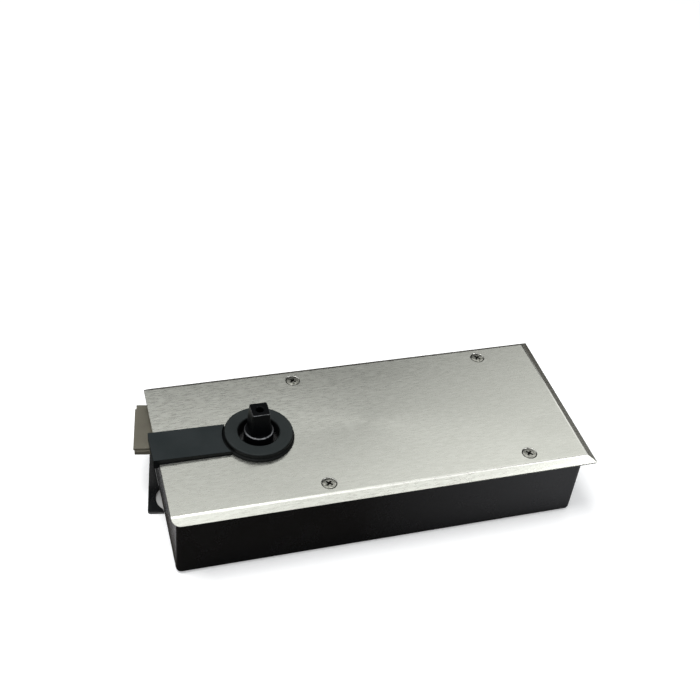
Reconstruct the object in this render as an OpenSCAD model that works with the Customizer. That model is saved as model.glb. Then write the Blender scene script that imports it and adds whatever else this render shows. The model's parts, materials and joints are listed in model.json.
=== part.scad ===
// Floor spring door closer with its cement box, cover plate, dust ring and square taper spindle.
// The spindle axis is the Z axis, the underside of the box is at z = 0 and the box runs along +X.

/* [Cement box] */
// Sheet thickness of the box
box_wall = 1.5; // [1:0.1:2.5]
// Outside radius of the upright corners of the box
box_corner_r = 3; // [2.6:0.1:6]
// Outside radius of the bends between floor and walls
box_bend_r = 4; // [2.6:0.1:6]
// Distance from the spindle axis to the outside of the left wall
spindle_inset = 62.7; // [60:0.1:70]
// Room between the end of the body and the right wall
end_room = 17.4; // [12:0.1:40]
// Room between the body's widest feet and the long walls
side_room = 4; // [2:0.1:12]
// Width of the notch in the left wall, under the slot of the cover
notch_w = 30; // [26:0.5:36]
// Depth of that notch below the underside of the cover
notch_h = 6; // [3:0.5:9]
// How far the rim of the box stays below the underside of the cover
rim_drop = 2.5; // [2.2:0.1:3]

/* [Cover plate] */
// Sheet thickness of the cover
cover_t = 1.5; // [1.2:0.1:2.5]
// How far the flat of the cover reaches past the box on the left
cover_over_left = 3.4; // [1:0.1:6]
// How far the flat of the cover stops short of the box's right side
cover_short = 2.5; // [0:0.1:2.8]
// How far the flat of the cover reaches past the box at the front and the back
cover_over_side = 3.5; // [1:0.1:6]
// Width of the sloping edge at the front and the back, seen from above
bevel_out = 5.1; // [3:0.1:8]
// Width of the sloping edge at the right end, seen from above
end_bevel_out = 6.4; // [6:0.1:8]
// Drop of the sloping edge
bevel_drop = 4; // [2.5:0.1:4.4]
// Corner radius of the cover at the slot end
cover_corner_r = 5.5; // [2:0.5:10]
// Width of the slot that is open to the left edge
slot_w = 26.2; // [26:0.1:33]
// Diameter of the opening round the spindle
cover_hole_d = 36; // [34.5:0.1:40]

/* [Cover screws] */
// Distance from the spindle axis to the first pair of cover screws
screw_x1 = 34.8; // [32:0.1:60]
// Distance between the pairs of cover screws
screw_pitch = 137.4; // [100:0.1:150]
// Distance of the cover screws in from the flat's long edges
screw_inset = 8.3; // [7.8:0.1:9]
// Diameter of the countersunk heads
screw_head_d = 9.5; // [8:0.1:10.5]
// Thread diameter of the cover screws
screw_d = 5; // [4:0.1:6]
// Length of the cover screws
screw_l = 12; // [9:0.5:14]
// Width of the lugs that hold the cover screws
lug_w = 14; // [12:0.5:18]
// Sheet thickness of the lugs
lug_t = 3; // [2:0.1:4]
// Height of the leg that joins a lug to the wall
lug_leg = 18; // [12:0.5:24]
// Outside diameter of the threaded bush under a lug
lug_bush_d = 8.5; // [7.5:0.1:9]

/* [Slot strip] */
// Width of the strip
strip_w = 25.3; // [23:0.1:25.5]
// Sheet thickness of the strip
strip_t = 1.5; // [1:0.1:2]
// Height of the strip's top above the cover
strip_rise = 2.2; // [0.5:0.1:3]
// How far the strip reaches past the cover's left edge
strip_over = 3.8; // [0:0.1:5]
// How far the feet of the strip reach under the cover beyond its sides
strip_foot = 4; // [3:0.1:6]

/* [Dust ring] */
// Diameter of the ring's top
ring_d = 45; // [42:0.1:50]
// Diameter of the ring's foot
ring_foot_d = 47; // [43:0.1:54]
// Height of the ring's foot
ring_foot_h = 1.6; // [1:0.1:2.5]
// Height of the ring above the cover
ring_h = 5.5; // [4:0.1:8]
// Diameter of the hole in the ring
ring_hole_d = 26.5; // [22:0.1:29]
// Edge chamfer of the ring
ring_edge = 0.8; // [0.3:0.1:1.5]
// How far the ring's spigot reaches below the cover's top
spigot_h = 3; // [2:0.1:4]

/* [Spindle] */
// Height of the square end above the cover
spindle_rise = 24.5; // [18:0.1:35]
// Height of the round collar above the cover
collar_rise = 7; // [1:0.1:8]
// Diameter of the shaft at the collar and the upper bearing
shaft_d = 19.5; // [18.5:0.1:20]
// Diameter of the lower journal
journal_d = 17; // [14:0.1:18]
// Diameter of the shoulder above the cam
shoulder_d = 23; // [20:0.1:24]
// Width of the square at its root
square_root = 13.5; // [12:0.1:14.5]
// Width of the square at its tip
square_tip = 11.5; // [9.5:0.1:12]
// Diameter over the rounded corners of the square at its root
corner_root_d = 17.8; // [16:0.1:18.4]
// Diameter over the rounded corners of the square at its tip
corner_tip_d = 15.7; // [13:0.1:16]
// Edge radius of the collar
collar_edge = 1.2; // [0.5:0.1:2]
// Diameter of the tapped hole in the tip
tap_d = 5; // [4:0.1:6]
// Depth of the tapped hole
tap_depth = 15; // [8:0.5:18]

/* [Cam and roller] */
// Swing of the spindle from closed to fully open, in degrees
swing_max = 130; // [110:1:134]
// Distance from the spindle axis to the roller axis with the door closed
cam_base = 23; // [22:0.1:25]
// How far the cam pushes the roller over the full swing
cam_rise = 18; // [12:0.1:20]
// How far the cam's flank runs on past the fully open place, in degrees
cam_overrun = 15; // [8:1:20]
// Thickness of the cam
cam_t = 13; // [10:0.1:15]
// Diameter of the roller
roller_d = 16; // [14:0.1:17]
// Diameter of the roller pin
roller_pin_d = 7; // [5:0.1:8]

/* [Bearings and seals] */
// Diameter of the bearing needles
needle_d = 2.5; // [2:0.1:3]
// Number of needles in each bearing
needles = 16; // [12:1:18]
// Wall thickness of the bearing cups
cup_wall = 1.2; // [0.8:0.1:1.6]
// Length of the upper bearing
upper_cup_l = 8.5; // [7:0.1:9]
// Length of the lower bearing
lower_cup_l = 7.6; // [6:0.1:8]
// Height of the shaft seal
seal_h = 4.4; // [3:0.1:4.6]
// Thickness of the thrust pad under the spindle
pad_t = 1.5; // [1:0.1:2]

/* [Body casting] */
// Gap between the box floor and the body
body_lift = 2.5; // [1:0.1:4]
// Thickness of the floor under the cam chamber
chamber_floor = 9.6; // [9.2:0.1:14]
// Wall thickness round the cam chamber
chamber_wall = 5; // [4:0.1:6]
// Wall thickness round the piston bore
bore_wall = 4; // [3:0.1:5]
// Diameter of the piston bore
bore_d = 34; // [33:0.1:36]
// Distance from the spindle axis to the end of the body
body_reach = 194; // [188:0.5:198]
// Width of the body beside the piston bore
body_w = 62; // [60:0.5:64]
// Height of the shoulders beside the bore, above the body's underside
shoulder_h = 30; // [26:0.5:36]
// Direction of the tapering sides where they leave the round end, in degrees
taper_angle = 75; // [68:1:80]
// Length of the block at the plug end
end_block_l = 16; // [14:0.5:20]
// Corner radius of the end block
end_block_r = 5; // [3:0.5:8]

/* [Bearing cap] */
// Thickness of the cap's flange
cap_t = 5; // [4:0.1:6]
// Thickness of the gasket under the cap
gasket_t = 0.8; // [0.5:0.1:1.2]
// How far the cap screws sit outside the casting's round wall
cap_screw_out = 0.2; // [0:0.1:1]
// Radius of the lobes round the cap screws
lobe_r = 6; // [5.6:0.1:6.5]
// Diameter of the hub round the shaft seal
hub_d = 38; // [34:0.5:44]
// Height of the hub above the flange
hub_h = 1.8; // [1:0.1:2.5]
// Thread diameter of the cap screws
cap_screw_d = 5; // [4:0.1:5]
// Length of the cap screws under the head
cap_screw_l = 16; // [12:0.5:20]
// Height of the heads of the cap screws
cap_head_h = 3; // [2:0.1:3.5]
// Room between the heads of the cap screws and the cover
head_room = 1.7; // [0.5:0.1:5]

/* [Piston and spring] */
// Length of the piston behind its fork
piston_l = 38; // [34:0.5:42]
// Depth of the spring's seat in the piston
piston_cup = 20; // [14:0.5:22]
// Thickness of each fork arm
arm_t = 5.5; // [4.5:0.1:6]
// Width of the fork arms
arm_w = 18; // [16:0.1:18.6]
// Width of the piston seal
piston_seal_w = 3; // [2:0.1:4]
// Wire diameter of the spring
wire_d = 4.8; // [4:0.1:5]
// Outside diameter of the spring
spring_d = 29.2; // [27:0.1:29.4]
// Number of open coils
spring_coils = 8; // [6:0.5:10]
// Diameter of the check valve
check_d = 10; // [8:0.1:12]
// Length of the check valve
check_l = 11; // [9:0.1:13]
// Diameter of the valve ball
ball_d = 4.8; // [4:0.1:5]

/* [End plug and valves] */
// Length of the plug's threaded head
plug_l = 12; // [10:0.1:14]
// Diameter of the plug's threaded head
plug_d = 37; // [36.5:0.1:38]
// Length of the plug's spigot
plug_spigot = 8; // [7:0.1:10]
// Width across flats of the plug's socket
plug_socket = 10; // [8:0.1:14]
// Section diameter of the plug's sealing ring
oring_d = 2.2; // [1.8:0.1:2.6]
// Distance of the valve screws from the bore axis
valve_y = 24.5; // [24.2:0.1:25]
// Distance of the valve screws below the bore axis
valve_drop = 3; // [0:0.1:6]
// Diameter of the valve screws
valve_d = 8; // [6:0.1:8.6]
// Length of the valve screws
valve_l = 20; // [16:0.5:26]
// Section diameter of the valve's sealing ring
valve_oring_d = 1.4; // [1:0.1:1.6]
// Depth of the valve's sealing ring below its head
valve_neck_l = 4; // [3:0.5:5]
// Length of the valve's needle point
valve_needle_l = 3; // [2:0.5:4]
// Length of the thin stem behind the needle point
valve_stem_l = 3; // [2:0.5:4]
// Length of the cone between the thin stem and the thread
valve_cone_l = 1; // [0.5:0.1:2]
// Diameter of the oil ways
oil_d = 3; // [2:0.1:4]

/* [Feet and fixings] */
// Thickness of the body's feet
foot_t = 12; // [8:0.5:14]
// Radius of the feet's upright corners
foot_corner_r = 6; // [2:0.5:8]
// Length of the left foot
left_foot_l = 34; // [30:0.5:36]
// Half width of the left foot
left_foot_w = 38; // [36:0.5:42]
// Length of the right foot
right_foot_l = 32; // [30:0.5:38]
// How far the right foot reaches out beside the body
right_foot_out = 17; // [15.5:0.1:18]
// How far the left foot reaches out beyond the round wall
left_foot_out = 11; // [9:0.1:12]
// Distance of the levelling screws from the edge of their foot
level_edge = 8; // [6:0.1:9]
// Distance from the right levelling screws to the studs beside them
stud_pitch = 15; // [13:0.5:18]
// Thread diameter of the levelling screws
level_d = 8; // [6:0.1:9]
// Length of the levelling screws
level_l = 22; // [18:0.5:26]
// Thread diameter of the studs on the box floor
stud_d = 6; // [5:0.1:6.5]
// Height of the studs above the box floor
stud_h = 25; // [23:0.5:28]
// Width across flats of the stud nuts
nut_flats = 10; // [9:0.1:10.5]
// Height of the stud nuts
nut_h = 5; // [4:0.1:6]
// Diameter of the stud washers
washer_d = 12.5; // [11:0.1:13]
// Thickness of the stud washers
washer_t = 1.6; // [1:0.1:2]
// Length of the slots in the feet
foot_slot = 13; // [9:0.5:15]

/* [Anchors outside the box] */
// Turn of the anchor pieces about the spindle's direction, in degrees
anchor_turn = -9.6; // [-14:0.1:-5]
// Thickness of the anchor plate at the floor
anchor_t = 2.3; // [1.5:0.1:4]
// Length of the anchor plate
anchor_l = 54; // [40:0.5:54]
// How far the anchor plate stands out at its near corner
anchor_out = 10.6; // [9.5:0.1:14]
// Distance of the anchor plate's near edge behind the spindle line
anchor_y = 0; // [-10:0.1:4]
// Corner radius of the anchor plate
anchor_corner_r = 2; // [1:0.5:5]
// Radius of the round cut-out in the anchor plate
anchor_hole_r = 14.2; // [12:0.1:18]
// Depth of the cut-out outside the wall
anchor_hole_out = 3.8; // [2:0.1:5]
// Distance of the cut-out's middle behind the spindle line
anchor_hole_y = 10.2; // [8:0.1:24]
// Height of the clamp plate's top below the cover's top
clamp_drop = 11.4; // [8:0.1:16]
// Thickness of the clamp plate
clamp_plate_t = 2; // [1:0.1:3]
// Thickness of the clamp block
clamp_block_t = 3.4; // [3.4:0.1:8]
// Length of the clamp plate
clamp_l = 37; // [30:0.5:42]
// How far the clamp plate stands out at its near corner
clamp_out = 16.5; // [12:0.1:20]
// Distance of the clamp plate's near edge behind the spindle line
clamp_y = 15.5; // [12:0.5:18]
// How far the clamp block reaches past the plate at the near end
clamp_near = 0.6; // [0:0.1:4]
// How far the clamp block reaches past the plate at the far end
clamp_far = 6; // [0:0.1:6]
// How far the clamp block's outer side stands back from the plate's
clamp_step = 0.7; // [0:0.1:3]
// Thread diameter of the clamp screws
clamp_screw_d = 2.4; // [2:0.1:2.6]
// Length of the clamp screws outside the wall
clamp_screw_l = 8; // [6:0.1:10]
// Distance of the clamp screws from the ends of the clamp plate
clamp_screw_in = 9; // [7:0.1:11]

/* [Fits] */
// Radial running clearance of shafts, needles, rollers and the piston
run_gap = 0.03; // [0.02:0.01:0.06]
// Clearance of seated and threaded pieces
seat_gap = 0.05; // [0.03:0.01:0.1]
// Clearance beside the cam, its fork and the chamber
side_gap = 0.6; // [0.4:0.1:1]

/* [Hidden] */
$fn = 64;
cut = 1;                                  // overshoot of every cutter

// Heights, from the box floor up
chamber_half = cam_t / 2 + side_gap + arm_t + side_gap;
body_z = box_wall + body_lift;
axis_z = body_z + chamber_floor + chamber_half;
body_top = axis_z + bore_d / 2 + bore_wall;
cap_z = body_top + gasket_t;
hub_top = cap_z + cap_t + hub_h;
rim_z = cap_z + cap_t + cap_head_h + head_room;
top_z = rim_z + cover_t;
box_rim_z = rim_z - rim_drop;
chamber_z = axis_z - chamber_half;
cap_bottom = axis_z + chamber_half;
foot_top = body_z + foot_t;

// Box and cover
right_foot_w = body_w / 2 + right_foot_out;
box_w = 2 * (right_foot_w + side_room + box_wall);
box_x0 = -spindle_inset;
box_x1 = body_reach + end_room + box_wall;
flat_x0 = box_x0 - cover_over_left;
flat_x1 = box_x1 - cover_short;
flat_w = box_w + 2 * cover_over_side;
bevel_angle = atan2(bevel_drop, bevel_out);
end_angle = atan2(bevel_drop, end_bevel_out);
screw_y = flat_w / 2 - screw_inset;
cover_screw_spots = [for (x = [screw_x1, screw_x1 + screw_pitch], s = [-1, 1]) [x, s * screw_y]];

// Cam: the roller's centre moves out by cam_gain for each radian of swing
cam_gain = cam_rise / (swing_max * PI / 180);
cam_end = swing_max + cam_overrun;
cam_cap_r = cam_base + cam_gain * cam_end * PI / 180 - roller_d / 2;
chamber_r = cam_cap_r + 2 * side_gap;
body_r = chamber_r + chamber_wall;
cap_screw_r = body_r + cap_screw_out;

// Piston and spring, with the door closed
piston_x0 = cam_base + roller_d / 2 + 2;
piston_x1 = piston_x0 + piston_l;
spring_x0 = piston_x1 - piston_cup;
plug_x0 = body_reach - plug_l - plug_spigot;
spring_l = plug_x0 - spring_x0;

// Bearings
shaft_r = shaft_d / 2;
journal_r = journal_d / 2;
upper_cup_z = cap_bottom + 1.2;
lower_cup_z = chamber_z - lower_cup_l;
pad_z = lower_cup_z;

// Feet: places of the levelling screws and of the studs
left_foot_x = -body_r - left_foot_out;
right_foot_x = body_reach - 2 - right_foot_l;
right_level_x = right_foot_x + right_foot_l - level_edge;
left_stud_y = left_foot_w - level_edge + 1;
level_spots = [for (s = [-1, 1]) each [
    [left_foot_x + level_edge - 1, s * (left_stud_y - stud_pitch + 1)],
    [right_level_x, s * (right_foot_w - level_edge)]
]];
stud_spots = [for (s = [-1, 1]) each [
    [left_foot_x + level_edge + stud_d, s * left_stud_y],
    [right_level_x - stud_pitch, s * (right_foot_w - level_edge)]
]];
lobe_angles = [60, 120, 240, 300];
clamp_screw_y = [clamp_y + clamp_screw_in, clamp_y + clamp_l - clamp_screw_in];
clamp_z = top_z - clamp_drop - clamp_plate_t;

// ---------------------------------------------------------------- shared shapes

// Flat rounded rectangle from corner a to corner b
module rounded_rect(a, b, r) {
    translate([a[0] + r, a[1]]) square([b[0] - a[0] - 2 * r, b[1] - a[1]]);
    translate([a[0], a[1] + r]) square([b[0] - a[0], b[1] - a[1] - 2 * r]);
    for (x = [a[0] + r, b[0] - r], y = [a[1] + r, b[1] - r]) translate([x, y]) circle(r);
}

// Flat rectangle with its two lower corners rounded, as the section of a pressed tray
module tray_section(a, b, r) {
    translate([a[0] + r, a[1]]) square([b[0] - a[0] - 2 * r, b[1] - a[1]]);
    translate([a[0], a[1] + r]) square([b[0] - a[0], b[1] - a[1] - r]);
    for (x = [a[0] + r, b[0] - r]) translate([x, a[1] + r]) circle(r);
}

// Cylinder from x = x0 to x = x1 round an axis along X
module x_rod(x0, x1, r, y = 0, z = axis_z) {
    translate([x0, y, z]) rotate([0, 90, 0]) cylinder(h = x1 - x0, r = r);
}

// Slab cut from a section in the YZ plane, from x0 to x1
module along_x(x0, x1) {
    translate([x0, 0, 0]) rotate([90, 0, 90]) linear_extrude(x1 - x0) children();
}

// Slab cut from a section in the XZ plane, from y0 to y1
module along_y(y0, y1) {
    translate([0, y1, 0]) rotate([90, 0, 0]) linear_extrude(y1 - y0) children();
}

// Solid block with the outside form of a pressed tray, grown inwards by the value skin
module tray_block(skin, top) {
    x0 = box_x0 + skin;
    x1 = box_x1 - skin;
    y1 = box_w / 2 - skin;
    intersection() {
        translate([0, 0, skin]) linear_extrude(top - skin)
            rounded_rect([x0, -y1], [x1, y1], box_corner_r - skin);
        along_x(x0, x1) tray_section([-y1, skin], [y1, top], box_bend_r - skin);
        along_y(-y1, y1) tray_section([x0, skin], [x1, top], box_bend_r - skin);
    }
}

// Hexagon socket cutter, open at the top
module socket(flats, depth) {
    translate([0, 0, -depth]) cylinder(h = depth + cut, r = flats / sqrt(3), $fn = 6);
}

// ---------------------------------------------------------------- box and cover

module cement_box() {
    color([0.06, 0.06, 0.07]) difference() {
        tray_block(0, box_rim_z);
        tray_block(box_wall, box_rim_z + cut);
        translate([box_x0 - cut, -notch_w / 2, rim_z - notch_h])
            cube([box_wall + box_corner_r + cut, notch_w, notch_h + cut]);
        for (y = clamp_screw_y)
            x_rod(box_x0 - cut, box_x0 + box_wall + cut, clamp_screw_d / 2 + seat_gap,
                  y, clamp_z - clamp_block_t / 2);
    }
}

module weld_studs() {
    color([0.62, 0.62, 0.6]) for (p = stud_spots) translate([p[0], p[1], box_wall]) {
        cylinder(h = stud_h - 0.8, d = stud_d);
        translate([0, 0, stud_h - 0.8]) cylinder(h = 0.8, d1 = stud_d, d2 = stud_d - 1.6);
    }
}

// One countersunk screw with its head flush at z = 0, grown by the value skin; also the cutter for its hole
module countersunk(skin) {
    head_r = screw_head_d / 2 + skin;
    core_r = screw_d / 2 + skin;
    rotate_extrude() polygon([
        [0, 0], [head_r, 0], [head_r, -0.4], [core_r, -0.4 - (head_r - core_r)],
        [core_r, -screw_l + 0.8 - skin], [core_r - 0.8, -screw_l - skin], [0, -screw_l - skin]
    ]);
}

module cover_lugs() {
    wall_y = box_w / 2 - box_wall;
    lug_y = screw_y - lug_bush_d / 2 - 1;
    color([0.1, 0.1, 0.11]) for (p = cover_screw_spots) difference() {
        s = sign(p[1]);
        union() {
            translate([p[0] - lug_w / 2, min(s * lug_y, s * wall_y), rim_z - lug_t])
                cube([lug_w, wall_y - lug_y, lug_t]);
            translate([p[0] - lug_w / 2, min(s * (wall_y - box_wall), s * wall_y), rim_z - lug_leg])
                cube([lug_w, box_wall, lug_leg]);
            translate([p[0], p[1], rim_z - screw_l]) cylinder(h = screw_l - 0.1, d = lug_bush_d);
        }
        translate([p[0], s * (wall_y + lug_bush_d / 2), rim_z - screw_l - cut])
            translate([-lug_w, -lug_bush_d / 2, 0]) cube([2 * lug_w, lug_bush_d, screw_l + 2 * cut]);
        translate([p[0], p[1], top_z]) countersunk(seat_gap);
        translate([p[0], p[1], rim_z - screw_l - cut]) cylinder(h = screw_l, d = screw_d + 2 * seat_gap);
    }
}

// Outside form of the bevelled cover, lowered and drawn in by one skin thickness
module cover_block(skin) {
    low = bevel_drop + cut - skin;
    x1 = flat_x1 - skin * tan(end_angle / 2);
    y1 = flat_w / 2 - skin * tan(bevel_angle / 2);
    x2 = x1 + low / tan(end_angle);
    y2 = y1 + low / tan(bevel_angle);
    z = top_z - skin;
    intersection() {
        along_x(flat_x0 - cut, x2) polygon([[-y1, z], [y1, z], [y2, z - low], [-y2, z - low]]);
        along_y(-y2, y2)
            polygon([[flat_x0 - cut, z], [x1, z], [x2, z - low], [flat_x0 - cut, z - low]]);
    }
}

module cover_plate() {
    edge_y = flat_w / 2 + bevel_out;
    color([0.72, 0.72, 0.69]) difference() {
        intersection() {
            cover_block(0);
            translate([0, 0, top_z - bevel_drop]) linear_extrude(bevel_drop + cut) union() {
                rounded_rect([flat_x0, -edge_y], [flat_x1, edge_y], cover_corner_r);
                translate([0, -edge_y]) square([flat_x1 + end_bevel_out, 2 * edge_y]);
            }
        }
        cover_block(cover_t);
        translate([flat_x0 - cut, -slot_w / 2, top_z - 2 * cover_t])
            cube([cut - flat_x0, slot_w, 3 * cover_t]);
        translate([0, 0, top_z - 2 * cover_t]) cylinder(h = 3 * cover_t, d = cover_hole_d);
        for (p = cover_screw_spots) translate([p[0], p[1], top_z]) {
            countersunk(seat_gap);
            cylinder(h = cut, r = screw_head_d / 2 + seat_gap);
        }
    }
}

module cover_screws() {
    color([0.6, 0.6, 0.58]) for (p = cover_screw_spots) translate([p[0], p[1], top_z - 0.05]) {
        difference() {
            countersunk(0);
            for (a = [45, 135]) rotate([0, 0, a]) translate([-screw_head_d * 0.27, -0.55, -1.6])
                cube([screw_head_d * 0.54, 1.1, 1.6 + cut]);
        }
    }
}

module slot_strip() {
    strip_top = top_z + strip_rise;
    y1 = strip_w / 2;
    y2 = y1 + strip_foot;
    foot_z = rim_z - strip_t;
    end_x = flat_x0 - strip_over;
    color([0.2, 0.22, 0.22]) difference() {
        union() {
            along_x(end_x, 0) polygon([
                [-y1, foot_z], [-y1, strip_top - 0.4], [-y1 + 0.4, strip_top],
                [y1 - 0.4, strip_top], [y1, strip_top - 0.4], [y1, foot_z],
                [y1 - strip_t, foot_z], [y1 - strip_t, strip_top - strip_t],
                [strip_t - y1, strip_top - strip_t], [strip_t - y1, foot_z]
            ]);
            along_x(box_x0 + box_wall + side_gap, 0) union() {
                for (s = [-1, 1])
                    translate([s * (y1 + y2 - strip_t) / 2 - (y2 - y1 + strip_t) / 2, foot_z])
                        square([y2 - y1 + strip_t, strip_t]);
            }
        }
        translate([0, 0, foot_z - cut]) cylinder(h = strip_top - foot_z + 2 * cut, r = ring_foot_d / 2 + 0.3);
    }
}

module dust_ring() {
    r1 = ring_hole_d / 2;
    r2 = ring_d / 2;
    r3 = ring_foot_d / 2;
    r4 = cover_hole_d / 2 - 0.3;
    color([0.22, 0.24, 0.24]) translate([0, 0, top_z]) rotate_extrude() polygon([
        [r1, -spigot_h], [r1, ring_h - ring_edge], [r1 + ring_edge, ring_h],
        [r2 - ring_edge, ring_h], [r2, ring_h - ring_edge], [r2, ring_foot_h],
        [r3 - 0.3, ring_foot_h], [r3, ring_foot_h - 0.3], [r3, 0], [r4, 0], [r4, -spigot_h]
    ]);
}

// ---------------------------------------------------------------- anchors outside the box

// Keeps only what stands outside the left wall
module outside_wall() {
    intersection() {
        children();
        translate([box_x0 - box_w, -box_w, -cut]) cube([box_w, 2 * box_w, top_z + 2 * cut]);
    }
}

module anchor_plate() {
    color([0.07, 0.07, 0.08]) outside_wall() difference() {
        translate([box_x0 - anchor_out, anchor_y, 0]) rotate([0, 0, anchor_turn])
            linear_extrude(anchor_t) rounded_rect([0, 0], [3 * anchor_out, anchor_l], anchor_corner_r);
        translate([box_x0 - anchor_hole_out + anchor_hole_r, anchor_hole_y, -cut])
            cylinder(h = anchor_t + 2 * cut, r = anchor_hole_r);
    }
}

// One turned flat bar outside the wall, from near to far along its length
module turned_bar(z, t, step, near, far) {
    outside_wall() translate([box_x0 - clamp_out, clamp_y, z]) rotate([0, 0, anchor_turn])
        translate([step, -near, 0]) cube([2 * clamp_out, clamp_l + near + far, t]);
}

module clamp_plate() {
    color([0.38, 0.37, 0.33]) turned_bar(clamp_z, clamp_plate_t, 0, 0, 0);
}

module clamp_block() {
    color([0.45, 0.44, 0.4]) difference() {
        turned_bar(clamp_z - clamp_block_t, clamp_block_t, clamp_step, clamp_near, clamp_far);
        for (y = clamp_screw_y)
            x_rod(box_x0 - clamp_screw_l - 0.5, box_x0 + cut, clamp_screw_d / 2 + seat_gap,
                  y, clamp_z - clamp_block_t / 2);
    }
}

module clamp_screws() {
    x = box_x0 + box_wall;
    z = clamp_z - clamp_block_t / 2;
    color([0.6, 0.6, 0.58]) for (y = clamp_screw_y) difference() {
        union() {
            x_rod(box_x0 - clamp_screw_l, x, clamp_screw_d / 2, y, z);
            x_rod(x, x + 3, clamp_screw_d * 0.9, y, z);
        }
        translate([x + 1.6, y - clamp_screw_d, z - 0.5]) cube([3, 2 * clamp_screw_d, 1]);
    }
}

// ---------------------------------------------------------------- body

// Plan of the round end with its four screw lobes
module round_end(r) {
    circle(r);
    for (a = lobe_angles) rotate(a) {
        translate([cap_screw_r, 0]) circle(lobe_r);
        translate([0, -lobe_r]) square([cap_screw_r, 2 * lobe_r]);
    }
}

module cap_screw_holes(h, d) {
    for (a = lobe_angles) rotate(a) translate([cap_screw_r, 0, 0]) cylinder(h = h, d = d);
}

// Plan of the body's long part, which tapers from the round end to the straight sides
module body_plan() {
    p = body_r * [cos(taper_angle), sin(taper_angle)];
    x = p[0] + (p[1] - body_w / 2) * tan(taper_angle);
    polygon([
        [0, 0], p, [x, body_w / 2], [body_reach, body_w / 2],
        [body_reach, -body_w / 2], [x, -body_w / 2], [p[0], -p[1]]
    ]);
}

module body_casting() {
    lobe_drop = cap_screw_l + 4;
    color([0.2, 0.2, 0.21]) difference() {
        union() {
            translate([0, 0, body_z]) cylinder(h = body_top - body_z, r = body_r);
            translate([0, 0, body_top - lobe_drop]) linear_extrude(lobe_drop) round_end(body_r);
            translate([0, 0, body_z]) linear_extrude(shoulder_h) body_plan();
            x_rod(0, body_reach, bore_d / 2 + bore_wall);
            along_x(body_reach - end_block_l, body_reach)
                rounded_rect([-body_w / 2, body_z], [body_w / 2, body_top], end_block_r);
            translate([0, 0, body_z]) linear_extrude(foot_t) {
                rounded_rect([left_foot_x, -left_foot_w], [left_foot_x + left_foot_l, left_foot_w],
                    foot_corner_r);
                rounded_rect([right_foot_x, -right_foot_w], [right_foot_x + right_foot_l, right_foot_w],
                    foot_corner_r);
            }
        }
        translate([0, 0, chamber_z]) cylinder(h = body_top - chamber_z + cut, r = chamber_r);
        translate([0, 0, lower_cup_z]) cylinder(h = lower_cup_l + cut, r = cup_outer(journal_r) + seat_gap);
        x_rod(0, body_reach + cut, bore_d / 2);
        x_rod(body_reach - plug_l, body_reach + cut, plug_d / 2);
        translate([0, 0, body_top - cap_screw_l])
            cap_screw_holes(cap_screw_l + cut, cap_screw_d + 2 * seat_gap);
        for (s = [-1, 1]) {
            x_rod(body_reach - valve_l - 3, body_reach + cut, valve_d / 2 + seat_gap,
                  s * valve_y, axis_z - valve_drop);
            x_rod(piston_x1, body_reach - valve_l, oil_d / 2, s * valve_y, axis_z - valve_drop);
            for (x = [piston_x1 + oil_d, plug_x0 - 2 * oil_d])
                translate([x, 0, axis_z - valve_drop]) rotate([-90 * s, 0, 0])
                    cylinder(h = valve_y, d = oil_d);
        }
        for (p = level_spots) translate([p[0], p[1], 0])
            cylinder(h = foot_top + cut, d = level_d + 2 * seat_gap);
        for (p = stud_spots) translate([p[0], p[1], 0]) {
            half = foot_slot / 2 - stud_d / 2 - 0.5;
            for (x = [-half, half]) translate([x, 0, 0]) cylinder(h = foot_top + cut, d = stud_d + 1);
            translate([-half, -stud_d / 2 - 0.5, 0]) cube([2 * half, stud_d + 1, foot_top + cut]);
        }
    }
}

module levelling_screws() {
    color([0.3, 0.3, 0.31]) for (p = level_spots) translate([p[0], p[1], box_wall]) difference() {
        union() {
            cylinder(h = 1, d1 = level_d - 2, d2 = level_d);
            translate([0, 0, 1]) cylinder(h = level_l - 1, d = level_d);
        }
        translate([0, 0, level_l]) socket(level_d / 2, level_d / 2);
    }
}

module stud_washers() {
    color([0.62, 0.62, 0.6]) for (p = stud_spots) translate([p[0], p[1], foot_top]) difference() {
        cylinder(h = washer_t, d = washer_d);
        translate([0, 0, -cut]) cylinder(h = washer_t + 2 * cut, d = stud_d + 0.4);
    }
}

module stud_nuts() {
    color([0.62, 0.62, 0.6]) for (p = stud_spots) translate([p[0], p[1], foot_top + washer_t]) difference() {
        intersection() {
            cylinder(h = nut_h, r = nut_flats / sqrt(3), $fn = 6);
            cylinder(h = nut_h, d1 = nut_flats * 1.25, d2 = nut_flats * 1.08);
        }
        translate([0, 0, -cut]) cylinder(h = nut_h + 2 * cut, d = stud_d + 2 * seat_gap);
    }
}

module bearing_cap() {
    color([0.24, 0.24, 0.25]) difference() {
        union() {
            translate([0, 0, cap_bottom]) cylinder(h = cap_z - cap_bottom + cut, r = chamber_r - seat_gap);
            translate([0, 0, cap_z]) linear_extrude(cap_t) round_end(body_r);
            translate([0, 0, cap_z]) cylinder(h = hub_top - cap_z, d = hub_d);
        }
        translate([0, 0, cap_bottom - cut]) cylinder(h = hub_top, r = shaft_r + 0.8);
        translate([0, 0, upper_cup_z]) cylinder(h = hub_top, r = cup_outer(shaft_r) + seat_gap);
        translate([0, 0, cap_z - cut]) cap_screw_holes(cap_t + 2 * cut, cap_screw_d + 0.5);
        // room for the top of the piston bore, where it meets the chamber
        x_rod(0, body_r + cut, bore_d / 2);
    }
}

module cap_gasket() {
    color([0.12, 0.25, 0.2]) translate([0, 0, body_top]) difference() {
        linear_extrude(gasket_t) round_end(body_r);
        translate([0, 0, -cut]) cylinder(h = gasket_t + 2 * cut, r = chamber_r);
        translate([0, 0, -cut]) cap_screw_holes(gasket_t + 2 * cut, cap_screw_d + 0.5);
    }
}

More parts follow.
